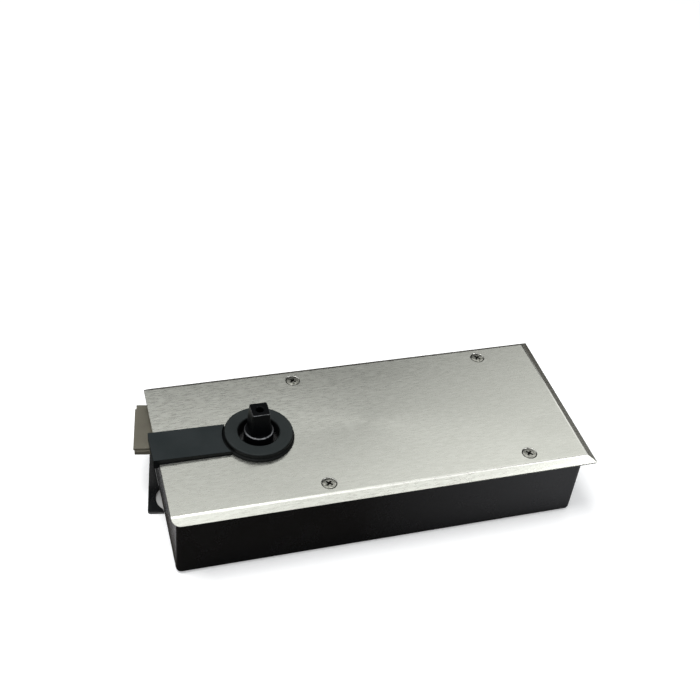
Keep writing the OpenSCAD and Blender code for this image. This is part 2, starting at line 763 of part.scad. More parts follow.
module cap_screws() {
    head_z = cap_z + cap_t;
    color([0.3, 0.3, 0.31]) for (a = lobe_angles) rotate(a) translate([cap_screw_r, 0, head_z]) difference() {
        rotate_extrude() polygon([
            [0, -cap_screw_l], [cap_screw_d / 2 - 0.6, -cap_screw_l], [cap_screw_d / 2, 0.6 - cap_screw_l],
            [cap_screw_d / 2, 0], [cap_screw_d * 0.95, 0], [cap_screw_d * 0.9, cap_head_h * 0.5],
            [cap_screw_d * 0.6, cap_head_h], [0, cap_head_h]
        ]);
        translate([0, 0, cap_head_h]) socket(cap_screw_d * 0.6, cap_head_h * 0.6);
    }
}

// ---------------------------------------------------------------- bearings and seals

// Outside radius of a needle bearing's cup on a shaft of radius r
function cup_outer(r) = r + needle_d + 2 * run_gap + cup_wall;

// Drawn cup with inward lips, standing on z = 0
module needle_cup(r, length) {
    inner = r + needle_d + 2 * run_gap;
    lip = 0.6;
    rotate_extrude() polygon([
        [r + 0.5, 0], [cup_outer(r), 0], [cup_outer(r), length], [r + 0.5, length],
        [r + 0.5, length - lip], [inner, length - lip], [inner, lip], [r + 0.5, lip]
    ]);
}

// Needles held between the two rings of their cage, standing on z = 0
module needle_cage(r, length) {
    ring = 0.8;
    pitch_r = r + run_gap + needle_d / 2;
    for (z = [0, length - ring]) translate([0, 0, z]) difference() {
        cylinder(h = ring, r = pitch_r + needle_d * 0.3);
        translate([0, 0, -cut]) cylinder(h = ring + 2 * cut, r = pitch_r - needle_d * 0.3);
    }
    for (i = [0 : needles - 1]) rotate(i * 360 / needles) translate([pitch_r, 0, ring * 0.5])
        cylinder(h = length - ring, d = needle_d, $fn = 24);
}

module upper_bearing_cup() {
    color([0.75, 0.75, 0.74]) translate([0, 0, upper_cup_z]) needle_cup(shaft_r, upper_cup_l);
}

module upper_needle_cage() {
    color([0.7, 0.62, 0.35]) translate([0, 0, upper_cup_z + 0.9]) needle_cage(shaft_r, upper_cup_l - 1.8);
}

module lower_bearing_cup() {
    color([0.75, 0.75, 0.74]) translate([0, 0, lower_cup_z]) needle_cup(journal_r, lower_cup_l);
}

module lower_needle_cage() {
    color([0.7, 0.62, 0.35]) translate([0, 0, lower_cup_z + 0.9]) needle_cage(journal_r, lower_cup_l - 1.8);
}

module shaft_seal() {
    r1 = shaft_r + seat_gap;
    r2 = cup_outer(shaft_r);
    seal_z = upper_cup_z + upper_cup_l;
    color([0.08, 0.08, 0.09]) translate([0, 0, seal_z]) rotate_extrude() polygon([
        [r1 + 0.8, 0], [r2, 0], [r2, seal_h], [r1 + 0.6, seal_h],
        [r1, seal_h - 0.6], [r1, seal_h - 1.4], [r1 + 0.8, seal_h - 2.2]
    ]);
}

module thrust_pad() {
    color([0.75, 0.75, 0.74]) translate([0, 0, pad_z]) cylinder(h = pad_t, r = journal_r - 0.2);
}

// ---------------------------------------------------------------- spindle with its heart cam

// Centre of the roller in the cam's own frame at cam angle a degrees
function roller_place(a) = (cam_base + cam_gain * a * PI / 180) * [cos(a), sin(a)];

// Point of the cam's flank that the roller touches at cam angle a
function flank(a) =
    let (p = roller_place(a), r = norm(p),
         t = [cam_gain * cos(a) - r * sin(a), cam_gain * sin(a) + r * cos(a)],
         n = [t[1], -t[0]] / norm(t))
    p - (roller_d / 2 + run_gap) * n;

// One side of the heart, from the notch for the closed door round to the back
module cam_half() {
    polygon(concat([[0, 0]], [for (a = [0 : 3 : cam_end]) flank(a)]));
}

module cam_plan() {
    difference() {
        union() {
            for (m = [0, 1]) mirror([0, m]) intersection() {
                cam_half();
                circle(cam_cap_r);
            }
            // round back of the heart between the ends of its two flanks
            difference() {
                circle(cam_cap_r - roller_d * 0.1);
                for (m = [0, 1]) mirror([0, m]) polygon([
                    [0, 0], 3 * cam_cap_r * [cos(cam_end), sin(cam_end)], 3 * cam_cap_r * [-0.3, 1],
                    3 * cam_cap_r * [1, 1], [3 * cam_cap_r, 0]
                ]);
            }
            circle(shoulder_d / 2 + 1);
        }
        translate([cam_base, 0]) circle(roller_d / 2 + run_gap);
    }
}

// Square taper whose corners are left round, as on a turned bar with four milled flats
module square_taper(z0, z1) {
    over = 0.01;
    intersection() {
        translate([0, 0, z0 - over]) cylinder(h = z1 - z0 + over, d1 = corner_root_d, d2 = corner_tip_d);
        along_x(-shaft_d, shaft_d) taper_section(z0, z1);
        along_y(-shaft_d, shaft_d) taper_section(z0, z1);
    }
}

module taper_section(z0, z1) {
    edge = 0.5;
    polygon([
        [-square_root / 2, z0 - cut], [square_root / 2, z0 - cut], [square_root / 2, z0],
        [square_tip / 2, z1 - edge], [square_tip / 2 - edge, z1],
        [edge - square_tip / 2, z1], [-square_tip / 2, z1 - edge], [-square_root / 2, z0]
    ]);
}

module spindle() {
    shaft_z0 = pad_z + pad_t + seat_gap;
    cam_z0 = axis_z - cam_t / 2;
    cam_z1 = axis_z + cam_t / 2;
    shoulder_z1 = cap_bottom - side_gap;
    collar_z = top_z + collar_rise;
    tip_z = top_z + spindle_rise;
    color([0.1, 0.1, 0.11]) difference() {
        union() {
            translate([0, 0, shaft_z0]) cylinder(h = cam_z0 - shaft_z0 + cut, r = journal_r);
            translate([0, 0, cam_z0]) linear_extrude(cam_t) cam_plan();
            translate([0, 0, cam_z1 - cut]) cylinder(h = shoulder_z1 - cam_z1 + cut, d = shoulder_d);
            rotate_extrude() polygon(concat(
                [[0, cam_z1], [shaft_r, cam_z1]],
                [for (a = [0 : 10 : 90])
                    [shaft_r - collar_edge * (1 - cos(a)), collar_z - collar_edge * (1 - sin(a))]],
                [[0, collar_z]]));
            square_taper(collar_z, tip_z);
        }
        translate([0, 0, tip_z - tap_depth]) cylinder(h = tap_depth + cut, d = tap_d);
        translate([0, 0, tip_z - 0.6]) cylinder(h = 0.6 + 0.01, d1 = tap_d, d2 = tap_d + 1.22);
    }
}

// ---------------------------------------------------------------- piston, roller and spring

module piston() {
    r = bore_d / 2 - run_gap;
    arm_z = cam_t / 2 + side_gap;
    seal_x = piston_x0 + 5;
    color([0.5, 0.5, 0.52]) difference() {
        union() {
            x_rod(piston_x0, piston_x1, r);
            intersection() {
                x_rod(0, piston_x0 + cut, r);
                for (z = [axis_z + arm_z, axis_z - arm_z - arm_t])
                    translate([0, 0, z]) linear_extrude(arm_t) {
                        translate([cam_base, 0]) circle(arm_w / 2);
                        translate([cam_base, -arm_w / 2]) square([piston_x0 + cut - cam_base, arm_w]);
                    }
            }
        }
        x_rod(spring_x0, piston_x1 + cut, spring_d / 2 + 0.3);
        x_rod(spring_x0 - check_l, spring_x0 + cut, check_d / 2 + seat_gap);
        x_rod(piston_x0 - cut, spring_x0, oil_d / 2);
        difference() {
            x_rod(seal_x, seal_x + piston_seal_w, r + cut);
            x_rod(seal_x - cut, seal_x + piston_seal_w + cut, r - 2);
        }
        translate([cam_base, 0, 0]) cylinder(h = top_z, d = roller_pin_d + 2 * seat_gap);
    }
}

module piston_seal() {
    seal_x = piston_x0 + 5;
    color([0.85, 0.85, 0.8]) difference() {
        x_rod(seal_x + seat_gap, seal_x + piston_seal_w - seat_gap, bore_d / 2 - run_gap);
        x_rod(seal_x - cut, seal_x + piston_seal_w + cut, bore_d / 2 - run_gap - 2 + seat_gap);
    }
}

module roller() {
    edge = 0.6;
    r = roller_d / 2;
    half = cam_t / 2 + side_gap / 2;
    color([0.72, 0.72, 0.72]) translate([cam_base, 0, axis_z]) rotate_extrude() polygon([
        [roller_pin_d / 2 + run_gap, -half], [r - edge, -half], [r, edge - half],
        [r, half - edge], [r - edge, half], [roller_pin_d / 2 + run_gap, half]
    ]);
}

module roller_pin() {
    half = cam_t / 2 + side_gap + arm_t;
    color([0.6, 0.6, 0.6]) intersection() {
        translate([cam_base, 0, axis_z - half]) cylinder(h = 2 * half, d = roller_pin_d);
        x_rod(0, 2 * cam_base, bore_d / 2 - 2 * run_gap);
    }
}

module check_valve() {
    x0 = spring_x0 - check_l;
    color([0.7, 0.58, 0.3]) difference() {
        x_rod(x0 + seat_gap, spring_x0, check_d / 2);
        x_rod(x0, spring_x0 + cut, oil_d / 2);
        x_rod(x0 + 3, spring_x0 - 2, ball_d / 2 + 0.3);
    }
}

module check_ball() {
    color([0.75, 0.75, 0.75]) translate([spring_x0 - check_l + 3 + ball_d / 2 + 0.1, 0, axis_z])
        sphere(d = ball_d, $fn = 32);
}

// Place along the spring after t turns: closed coils at both ends and open coils between them
closed_pitch = wire_d + 0.3;
open_pitch = (spring_l - 2 * closed_pitch - wire_d * 0.2) / spring_coils;
spring_turns = spring_coils + 2;
function coil_place(t) =
    t < 1 ? closed_pitch * t :
    t > spring_turns - 1 ? closed_pitch * (t - spring_turns + 2) + open_pitch * spring_coils :
    closed_pitch + open_pitch * (t - 1);

module spring() {
    steps = 20;
    sides = 8;
    mean_r = (spring_d - wire_d) / 2;
    rings = [for (i = [0 : steps * spring_turns])
        let (a = i * 360 / steps)
        [for (j = [0 : sides - 1])
            let (b = j * 360 / sides, rr = mean_r + wire_d / 2 * cos(b))
            [coil_place(i / steps) + wire_d * (0.1 + 0.5 * sin(b)), rr * cos(a), rr * sin(a)]]];
    count = len(rings);
    points = [for (ring = rings) each ring];
    sides_faces = [for (i = [0 : count - 2], j = [0 : sides - 1])
        let (k = (j + 1) % sides)
        [i * sides + j, i * sides + k, (i + 1) * sides + k, (i + 1) * sides + j]];
    ends = [[for (j = [sides - 1 : -1 : 0]) j], [for (j = [0 : sides - 1]) (count - 1) * sides + j]];
    color([0.35, 0.36, 0.38]) intersection() {
        translate([spring_x0, 0, axis_z]) polyhedron(points, concat(sides_faces, ends));
        x_rod(spring_x0 + seat_gap, spring_x0 + spring_l - seat_gap, spring_d);
    }
}

// ---------------------------------------------------------------- plug and valves

module end_plug() {
    groove_x = plug_x0 + 2.5;
    groove_r = bore_d / 2 - oring_d - 0.1;
    color([0.55, 0.55, 0.55]) difference() {
        union() {
            x_rod(plug_x0, body_reach - plug_l + cut, bore_d / 2 - seat_gap);
            x_rod(body_reach - plug_l, body_reach - 0.5, plug_d / 2 - seat_gap);
        }
        difference() {
            x_rod(groove_x, groove_x + oring_d + 0.4, bore_d);
            x_rod(groove_x - cut, groove_x + oring_d + 0.4 + cut, groove_r);
        }
        translate([body_reach - 0.5, 0, axis_z]) rotate([0, 90, 0]) socket(plug_socket, plug_l * 0.6);
    }
}

module plug_seal() {
    groove_x = plug_x0 + 2.5;
    color([0.08, 0.08, 0.09]) translate([groove_x + oring_d / 2 + 0.2, 0, axis_z]) rotate([0, 90, 0])
        rotate_extrude() translate([bore_d / 2 - oring_d / 2 - 0.05, 0]) circle(d = oring_d, $fn = 24);
}

// Valve screw with its slotted head at x = 0 and its needle point towards -X
module valve_screw() {
    r = valve_d / 2;
    groove = valve_oring_d + 0.3;
    stem_z = valve_l - valve_needle_l - valve_stem_l;
    rotate([0, -90, 0]) difference() {
        rotate_extrude() polygon([
            [0, 0], [r - 0.5, 0], [r, 0.5], [r, valve_neck_l], [r - valve_oring_d, valve_neck_l],
            [r - valve_oring_d, valve_neck_l + groove], [r, valve_neck_l + groove],
            [r, stem_z - valve_cone_l], [r * 0.5, stem_z], [r * 0.5, valve_l - valve_needle_l],
            [0.4, valve_l], [0, valve_l]
        ]);
        translate([-valve_d, -0.6, -cut]) cube([2 * valve_d, 1.2, 1.8 + cut]);
    }
}

module valve_ring() {
    rotate([0, -90, 0]) translate([0, 0, valve_neck_l + 0.15 + valve_oring_d / 2]) rotate_extrude()
        translate([(valve_d - valve_oring_d) / 2, 0]) circle(d = valve_oring_d - 0.1, $fn = 24);
}

module at_valve(s) {
    translate([body_reach - 0.5, s * valve_y, axis_z - valve_drop]) children();
}

module speed_valve() {
    color([0.72, 0.6, 0.3]) at_valve(-1) valve_screw();
}

module speed_valve_seal() {
    color([0.08, 0.08, 0.09]) at_valve(-1) valve_ring();
}

module latch_valve() {
    color([0.72, 0.6, 0.3]) at_valve(1) valve_screw();
}

module latch_valve_seal() {
    color([0.08, 0.08, 0.09]) at_valve(1) valve_ring();
}

// ---------------------------------------------------------------- what is drawn

cement_box();
weld_studs();
cover_lugs();
cover_plate();
cover_screws();
slot_strip();
dust_ring();
anchor_plate();
clamp_plate();
clamp_block();
clamp_screws();
body_casting();
levelling_screws();
stud_washers();
stud_nuts();
bearing_cap();
cap_gasket();
cap_screws();
shaft_seal();
upper_bearing_cup();
upper_needle_cage();
lower_bearing_cup();
lower_needle_cage();
thrust_pad();
spindle();
piston();
piston_seal();
roller();
roller_pin();
check_valve();
check_ball();
spring();
end_plug();
plug_seal();
speed_valve();
speed_valve_seal();
latch_valve();
latch_valve_seal();
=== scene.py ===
"""Looks of a floor spring door closer: a sunk box, its brushed cover, the dust ring and the square spindle.

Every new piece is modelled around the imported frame, in metres, with the spindle's axis on Z and the
underside of the box at z = 0. Inner pieces keep their own solids and get their finish here.
"""
import json
import logging
import math
from collections.abc import Callable, Iterator, Sequence
from contextlib import contextmanager
from dataclasses import dataclass
from enum import Enum
from functools import cache

import bmesh
import bpy
from mathutils import Matrix, Quaternion, Vector


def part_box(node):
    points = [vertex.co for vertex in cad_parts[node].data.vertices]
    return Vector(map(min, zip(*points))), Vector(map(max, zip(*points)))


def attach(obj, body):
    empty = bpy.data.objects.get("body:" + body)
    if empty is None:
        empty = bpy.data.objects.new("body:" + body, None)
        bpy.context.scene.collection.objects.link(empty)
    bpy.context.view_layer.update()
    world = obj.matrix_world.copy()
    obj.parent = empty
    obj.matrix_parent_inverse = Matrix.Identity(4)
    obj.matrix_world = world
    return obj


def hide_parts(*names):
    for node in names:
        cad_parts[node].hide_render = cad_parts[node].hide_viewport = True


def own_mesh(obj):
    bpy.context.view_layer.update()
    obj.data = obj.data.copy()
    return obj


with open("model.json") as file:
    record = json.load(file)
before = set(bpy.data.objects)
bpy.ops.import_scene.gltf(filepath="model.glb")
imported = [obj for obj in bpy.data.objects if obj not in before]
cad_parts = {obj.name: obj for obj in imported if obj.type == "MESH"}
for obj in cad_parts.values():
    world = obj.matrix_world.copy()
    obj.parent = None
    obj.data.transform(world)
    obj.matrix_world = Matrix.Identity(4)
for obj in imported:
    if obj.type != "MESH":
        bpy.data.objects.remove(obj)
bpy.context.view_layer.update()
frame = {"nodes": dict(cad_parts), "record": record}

logging.basicConfig(level=logging.INFO, format="%(message)s")
LOG = logging.getLogger("door_closer")

Piece = bpy.types.Object
Socket = bpy.types.NodeSocket
Point = Sequence[float]
Outline = Sequence[tuple[float, float]]
Range = tuple[float, float]
Triple = tuple[float, float, float]
Colour = Triple
Test = Callable[[object], bool]

MM = 0.001
NEAR = 0.02 * MM  # points closer than this are at the same place
MERGE = NEAR / 4
FACING = 0.9  # a face points along an axis when its normal reaches this
STROKE = 18 * MM  # travel of the piston over the whole swing
SWING = math.radians(130)


# ------ modelling by hand, in code


class Kind(Enum):
    """What a selection picks in edit mode, with the name of its group in a mesh."""

    VERT = "verts"
    EDGE = "edges"
    FACE = "faces"


class Boolean(Enum):
    """What is done to a piece with others."""

    CUT = "DIFFERENCE"
    JOIN = "UNION"


class Axis(Enum):
    """An axis, with the turn that lays an upright primitive along it."""

    X = (0.0, math.pi / 2, 0.0)
    Y = (math.pi / 2, 0.0, 0.0)
    Z = (0.0, 0.0, 0.0)


def take_only(obj: Piece) -> None:
    """Selects one object alone and makes it active.

    Args:
        obj: The object.
    """
    bpy.ops.object.select_all(action="DESELECT")
    obj.select_set(True)
    bpy.context.view_layer.objects.active = obj


@contextmanager
def editing(obj: Piece, everything: bool = False) -> Iterator[None]:
    """Edit mode on one object.

    Args:
        obj: The mesh object to edit.
        everything: Whether all of it is selected at the start, and otherwise nothing.
    """
    take_only(obj)
    bpy.ops.object.mode_set(mode="EDIT")
    bpy.ops.mesh.select_all(action="SELECT" if everything else "DESELECT")
    yield
    bpy.ops.object.mode_set(mode="OBJECT")


def select(obj: Piece, kind: Kind, test: Test) -> None:
    """Selects the elements of a mesh in edit mode that pass a test, and nothing else.

    Args:
        obj: The mesh object in edit mode.
        kind: Whether vertices, edges or faces are tested.
        test: Says of one element whether it is taken.
    """
    bpy.ops.mesh.select_all(action="DESELECT")
    bpy.ops.mesh.select_mode(type=kind.name)
    mesh = bmesh.from_edit_mesh(obj.data)
    for element in filter(test, getattr(mesh, kind.value)):
        element.select_set(True)
    mesh.select_flush_mode()
    bmesh.update_edit_mesh(obj.data)


def new_piece(name: str) -> Piece:
    """Names the primitive just added and puts its place and size into its mesh.

    Args:
        name: Its name.

    Returns:
        Its object.
    """
    obj = bpy.context.active_object
    obj.name = name
    obj.data.name = name
    take_only(obj)
    bpy.ops.object.transform_apply(location=True, rotation=True, scale=True)
    return obj


def block(name: str, low: Point, high: Point) -> Piece:
    """Adds a box.

    Args:
        name: Name of the new object.
        low: Lowest corner, in metres.
        high: Highest corner.

    Returns:
        The new mesh object.
    """
    bpy.ops.object.select_all(action="DESELECT")
    size = [b - a for a, b in zip(low, high)]
    middle = [(a + b) / 2 for a, b in zip(low, high)]
    bpy.ops.mesh.primitive_cube_add(size=1, location=middle, scale=size)
    return new_piece(name)


def rod(
    name: str, base: Point, length: float, radius: float, axis: Axis = Axis.Z, tip: float | None = None,
    sides: int = 96,
) -> Piece:
    """Adds a cylinder or a cone that starts at a base point.

    Args:
        name: Name of the new object.
        base: Middle of its first end, in metres.
        length: Length along the axis.
        radius: Radius at the first end.
        axis: Direction in which it stands.
        tip: Radius at the far end, where it differs.
        sides: Number of sides.

    Returns:
        The new mesh object.
    """
    bpy.ops.object.select_all(action="DESELECT")
    turn = Matrix.Rotation(axis.value[1], 4, "Y") @ Matrix.Rotation(axis.value[0], 4, "X")
    middle = Vector(base) + turn.to_3x3() @ Vector((0, 0, length / 2))
    far = radius if tip is None else tip
    bpy.ops.mesh.primitive_cone_add(
        vertices=sides, radius1=radius, radius2=far, depth=length, location=middle, rotation=axis.value
    )
    return new_piece(name)


def outlined(name: str, points: Sequence[Point], filled: bool) -> Piece:
    """Adds a closed outline, bent from a circle.

    Args:
        name: Name of the new object.
        points: Its corners in order, in metres.
        filled: Whether it is a face and not a bare line.

    Returns:
        The new mesh object.
    """
    bpy.ops.object.select_all(action="DESELECT")
    fill = "NGON" if filled else "NOTHING"
    bpy.ops.mesh.primitive_circle_add(vertices=len(points), fill_type=fill, location=(0, 0, 0))
    obj = new_piece(name)
    for vert, point in zip(obj.data.vertices, points):
        vert.co = Vector(point)
    return obj


def turned(name: str, outline: Outline, base: Point, steps: int = 128) -> Piece:
    """Turns a closed outline round an upright axis, as on a lathe.

    Args:
        name: Name of the new object.
        outline: Corners as (radius, height) pairs in metres, in order.
        base: The point of the axis at height 0.
        steps: Number of steps round the axis.

    Returns:
        The new mesh object.
    """
    obj = outlined(name, [Vector(base) + Vector((r, 0, height)) for r, height in outline], False)
    with editing(obj, everything=True):
        bpy.ops.mesh.spin(steps=steps, angle=math.tau, center=base, axis=(0, 0, 1), use_auto_merge=True)
        bpy.ops.mesh.select_all(action="SELECT")
        bpy.ops.mesh.remove_doubles(threshold=MERGE)
        bpy.ops.mesh.dissolve_degenerate(threshold=MERGE)
        bpy.ops.mesh.select_all(action="SELECT")
        bpy.ops.mesh.normals_make_consistent(inside=False)
    return obj


def plate(name: str, outline: Outline, z: float, thickness: float) -> Piece:
    """Extrudes a flat outline upwards.

    Args:
        name: Name of the new object.
        outline: Corners as (x, y) pairs in metres, in order.
        z: Height of the underside.
        thickness: Thickness of the plate.

    Returns:
        The new mesh object.
    """
    obj = outlined(name, [(x, y, z) for x, y in outline], True)
    with editing(obj, everything=True):
        bpy.ops.mesh.extrude_region_move(TRANSFORM_OT_translate={"value": (0, 0, thickness)})
        bpy.ops.mesh.select_all(action="SELECT")
        bpy.ops.mesh.normals_make_consistent(inside=False)
    return obj


def apply_modifier(obj: Piece, kind: str, **settings: object) -> None:
    """Adds one modifier with its settings and applies it.

    Args:
        obj: The object that is changed.
        kind: The modifier's type.
        **settings: Values of the modifier's properties.
    """
    take_only(obj)
    modifier = obj.modifiers.new(kind.lower(), kind)
    for key, value in settings.items():
        setattr(modifier, key, value)
    bpy.ops.object.modifier_apply(modifier=modifier.name)


def combine(obj: Piece, how: Boolean, *others: Piece) -> None:
    """Cuts an object with others or joins them to it, and uses them up.

    Args:
        obj: The object that stays.
        how: Whether it is cut or joined.
        *others: The cutters or additions.
    """
    for other in others:
        apply_modifier(obj, "BOOLEAN", operation=how.value, solver="EXACT", object=other)
        bpy.data.objects.remove(other, do_unlink=True)


def thicken(obj: Piece, sheet: float) -> None:
    """Gives a folded skin the thickness of its sheet, in metres, on its inner side."""
    apply_modifier(obj, "SOLIDIFY", thickness=sheet, offset=-1, use_even_offset=True)


def smooth(obj: Piece, angle: float = 30.0) -> None:
    """Shades a piece smooth and keeps its large flats even.

    Args:
        obj: The piece.
        angle: Edges that turn by more degrees than this stay sharp.
    """
    take_only(obj)
    bpy.ops.object.shade_smooth_by_angle(angle=math.radians(angle))
    apply_modifier(obj, "WEIGHTED_NORMAL", keep_sharp=True, weight=100)


def soften(obj: Piece, width: float, segments: int, angle: float, shade: float = 30.0) -> None:
    """Rounds the sharp edges of a finished form and shades it smooth.

    Args:
        obj: The mesh object.
        width: Width of the rounding, in metres.
        segments: Steps across the rounding.
        angle: Edges that turn by more degrees than this are rounded.
        shade: Edges that turn by fewer degrees than this are shaded smooth.
    """
    with editing(obj, everything=True):
        bpy.ops.mesh.remove_doubles(threshold=MERGE)
        bpy.ops.mesh.dissolve_limited(angle_limit=math.radians(0.5))
    apply_modifier(
        obj, "BEVEL", width=width, segments=segments, limit_method="ANGLE", angle_limit=math.radians(angle),
        use_clamp_overlap=True, harden_normals=False, miter_outer="MITER_ARC",
    )
    smooth(obj, shade)


def copy_to(obj: Piece, name: str, shift: Point = (0, 0, 0)) -> Piece:
    """Makes a new object of a piece's mesh, at a place of its own.

    Args:
        obj: The piece that is copied.
        name: Name of the copy.
        shift: How far the copy is moved, in metres.

    Returns:
        The copy.
    """
    twin = bpy.data.objects.new(name, obj.data.copy())
    twin.data.name = name
    twin.data.transform(Matrix.Translation(Vector(shift)))
    bpy.context.scene.collection.objects.link(twin)
    return twin


# ------ finishes


@dataclass
class Nodes:
    """The node tree of a material or of the world while it is wired up."""

    owner: bpy.types.Material | bpy.types.World

    @classmethod
    def start(cls, name: str) -> "Nodes":
        """Makes a node material with its shader and its output.

        Args:
            name: Name of the material.

        Returns:
            Its tree.
        """
        material = bpy.data.materials.new(name)
        material.use_nodes = True
        return cls(material)

    @property
    def shader(self) -> bpy.types.Node:
        """The material's main shader."""
        return self.owner.node_tree.nodes["Principled BSDF"]

    def add(self, kind: str, **settings: object) -> bpy.types.Node:
        """Adds a node and sets its properties and sockets.

        Args:
            kind: The node's type.
            **settings: Properties by their name, and sockets by their name with underscores.

        Returns:
            The new node.
        """
        node = self.owner.node_tree.nodes.new(kind)
        for key, value in settings.items():
            if hasattr(node, key):
                setattr(node, key, value)
            else:
                node.inputs[key.replace("_", " ")].default_value = value
        return node

    def link(self, source: Socket, target: Socket) -> None:
        """Joins an output to an input."""
        self.owner.node_tree.links.new(source, target)

    def feed(self, node: bpy.types.Node, sources: dict[int | str, Socket], result: int = 0) -> Socket:
        """Joins outputs to the inputs of a node.

        Args:
            node: The node.
            sources: The outputs by the number or the name of the input that each feeds.
            result: Number of the node's output that is wanted.

        Returns:
            That output.
        """
        for key, source in sources.items():
            self.link(source, node.inputs[key])
        return node.outputs[result]

    def place(self, scale: Point) -> Socket:
        """The point on the object, stretched by a scale along each axis."""
        where = self.add("ShaderNodeTexCoord")
        return self.feed(self.add("ShaderNodeMapping", Scale=scale), {0: where.outputs["Object"]})

    def noise(self, scale: Point, detail: float = 3.0, roughness: float = 0.55) -> Socket:
        """Grain with so many cells to a metre along X, Y and Z, and its finer layers' number and strength."""
        grain = self.add("ShaderNodeTexNoise", Scale=1.0, Detail=detail, Roughness=roughness)
        return self.feed(grain, {0: self.place(scale)})

    def span(self, value: Socket, low: float, high: float, start: float = 0.35, end: float = 0.65) -> Socket:
        """Carries a range of a value over to a range of numbers, and holds it at both ends.

        Args:
            value: The value, such as a grain.
            low: Result at the start of its range.
            high: Result at the end of its range.
            start: Value that gives low.
            end: Value that gives high.

        Returns:
            The new value.
        """
        ranged = self.add("ShaderNodeMapRange", clamp=True)
        for socket, number in zip(ranged.inputs[1:5], (start, end, low, high)):
            socket.default_value = number
        return self.feed(ranged, {0: value})

    def blend(self, factor: Socket, first: Colour | Socket, second: Colour | Socket) -> Socket:
        """Mixes two colours, each a constant or the result of another mix.

        Args:
            factor: 0 for the first colour and 1 for the second.
            first: The first colour.
            second: The second colour.

        Returns:
            The mixed colour.
        """
        mix = self.add("ShaderNodeMix", data_type="RGBA")
        for number, colour in ((6, first), (7, second)):
            if isinstance(colour, tuple):
                mix.inputs[number].default_value = (*colour, 1.0)
            else:
                self.link(colour, mix.inputs[number])
        return self.feed(mix, {0: factor}, 2)

    def along(self, axis: Axis, low: float, high: float, start: float, end: float) -> Socket:
        """A value that goes over from one number to another along an axis of the object.

        Args:
            axis: The axis.
            low: Result before the start.
            high: Result past the end.
            start: Where the change starts, in metres.
            end: Where it ends.

        Returns:
            The value.
        """
        split = self.add("ShaderNodeSeparateXYZ")
        self.link(self.place((1.0, 1.0, 1.0)), split.inputs[0])
        return self.span(split.outputs[axis.name], low, high, start, end)

    def between(self, axis: Axis, low: float, high: float, edge: float = 1.5 * MM) -> Socket:
        """1 between two places on an axis and 0 beyond them, with a soft edge inside both."""
        rise = self.along(axis, 0.0, 1.0, low, low + edge)
        return self.times(rise, self.along(axis, 1.0, 0.0, high - edge, high))

    def outside(self, radius: float, edge: float = 0.2 * MM) -> Socket:
        """1 beyond a radius round the spindle's axis and 0 within it."""
        away = self.feed(self.add("ShaderNodeVectorMath", operation="LENGTH"), {0: self.place((1, 1, 0))}, 1)
        return self.span(away, 0.0, 1.0, radius - edge, radius)

    def times(self, first: Socket, second: Socket) -> Socket:
        """Multiplies two values."""
        return self.feed(self.add("ShaderNodeMath", operation="MULTIPLY"), {0: first, 1: second})

    def relief(self, height: Socket, strength: float, distance: float) -> None:
        """Turns a grain into relief on the shader, with a strength from 0 to 1 and a depth in metres."""
        bump = self.add("ShaderNodeBump", Strength=strength, Distance=distance)
        self.link(self.feed(bump, {"Height": height}), self.shader.inputs["Normal"])

    def dress(
        self, colour: Socket, roughness: Socket | None = None, **constants: object
    ) -> bpy.types.Material:
        """Gives the shader its colour, its roughness and its constants.

        Args:
            colour: The colour.
            roughness: The roughness, unless it is a constant.
            **constants: Values of other sockets, by their name with underscores.

        Returns:
            The finished material.
        """
        self.link(colour, self.shader.inputs["Base Color"])
        if roughness is not None:
            self.link(roughness, self.shader.inputs["Roughness"])
        for name, value in constants.items():
            self.shader.inputs[name.replace("_", " ")].default_value = value
        return self.owner


def shaded(colour: Colour, share: float) -> Colour:
    """A darker copy of a colour."""
    return tuple(v * share for v in colour)


@dataclass(frozen=True)
class Brushed:
    """Bare metal brushed along X, with short fine strokes, broad dull patches and a painted highlight along
    the fold.
    """

    light: Colour
    dark: Colour
    rough: Range = (0.25, 0.33)
    stroke: Triple = (170.0, 1300.0, 900.0)
    patch: Triple = (9.0, 26.0, 26.0)
    depth: float = 0.02 * MM
    dulled: float = 0.86
    # colour of the painted highlight along the fold
    painted_highlight: Colour = (0.86, 0.86, 0.82)
    fold: Range = (59.0 * MM, 59.74 * MM)

    def material(self, name: str) -> bpy.types.Material:
        """Builds the brushed metal, with fainter strokes below the fold.

        Args:
            name: Name of the material.

        Returns:
            The finished material.
        """
        tree = Nodes.start(name)
        strokes = tree.noise(self.stroke, detail=4.0)
        coarse = tree.noise((self.stroke[0], self.stroke[1] * 0.5, self.stroke[2]), detail=2.0)
        patches = tree.noise(self.patch, detail=2.0)
        colour = tree.blend(tree.span(coarse, 0.0, 1.0), self.dark, self.light)
        colour = tree.blend(tree.span(patches, 0.0, 0.45, 0.5, 0.75), colour, shaded(self.dark, self.dulled))
        # painted highlight: a bright stripe of colour along the fold stands in for its glint
        colour = tree.blend(tree.between(Axis.Z, *self.fold, 0.15 * MM), colour, self.painted_highlight)
        tree.relief(tree.times(strokes, tree.along(Axis.Z, 0.2, 1.0, *self.fold)), 0.16, self.depth)
        return tree.dress(colour, tree.span(strokes, *self.rough), Metallic=1.0, Anisotropic=0.35)


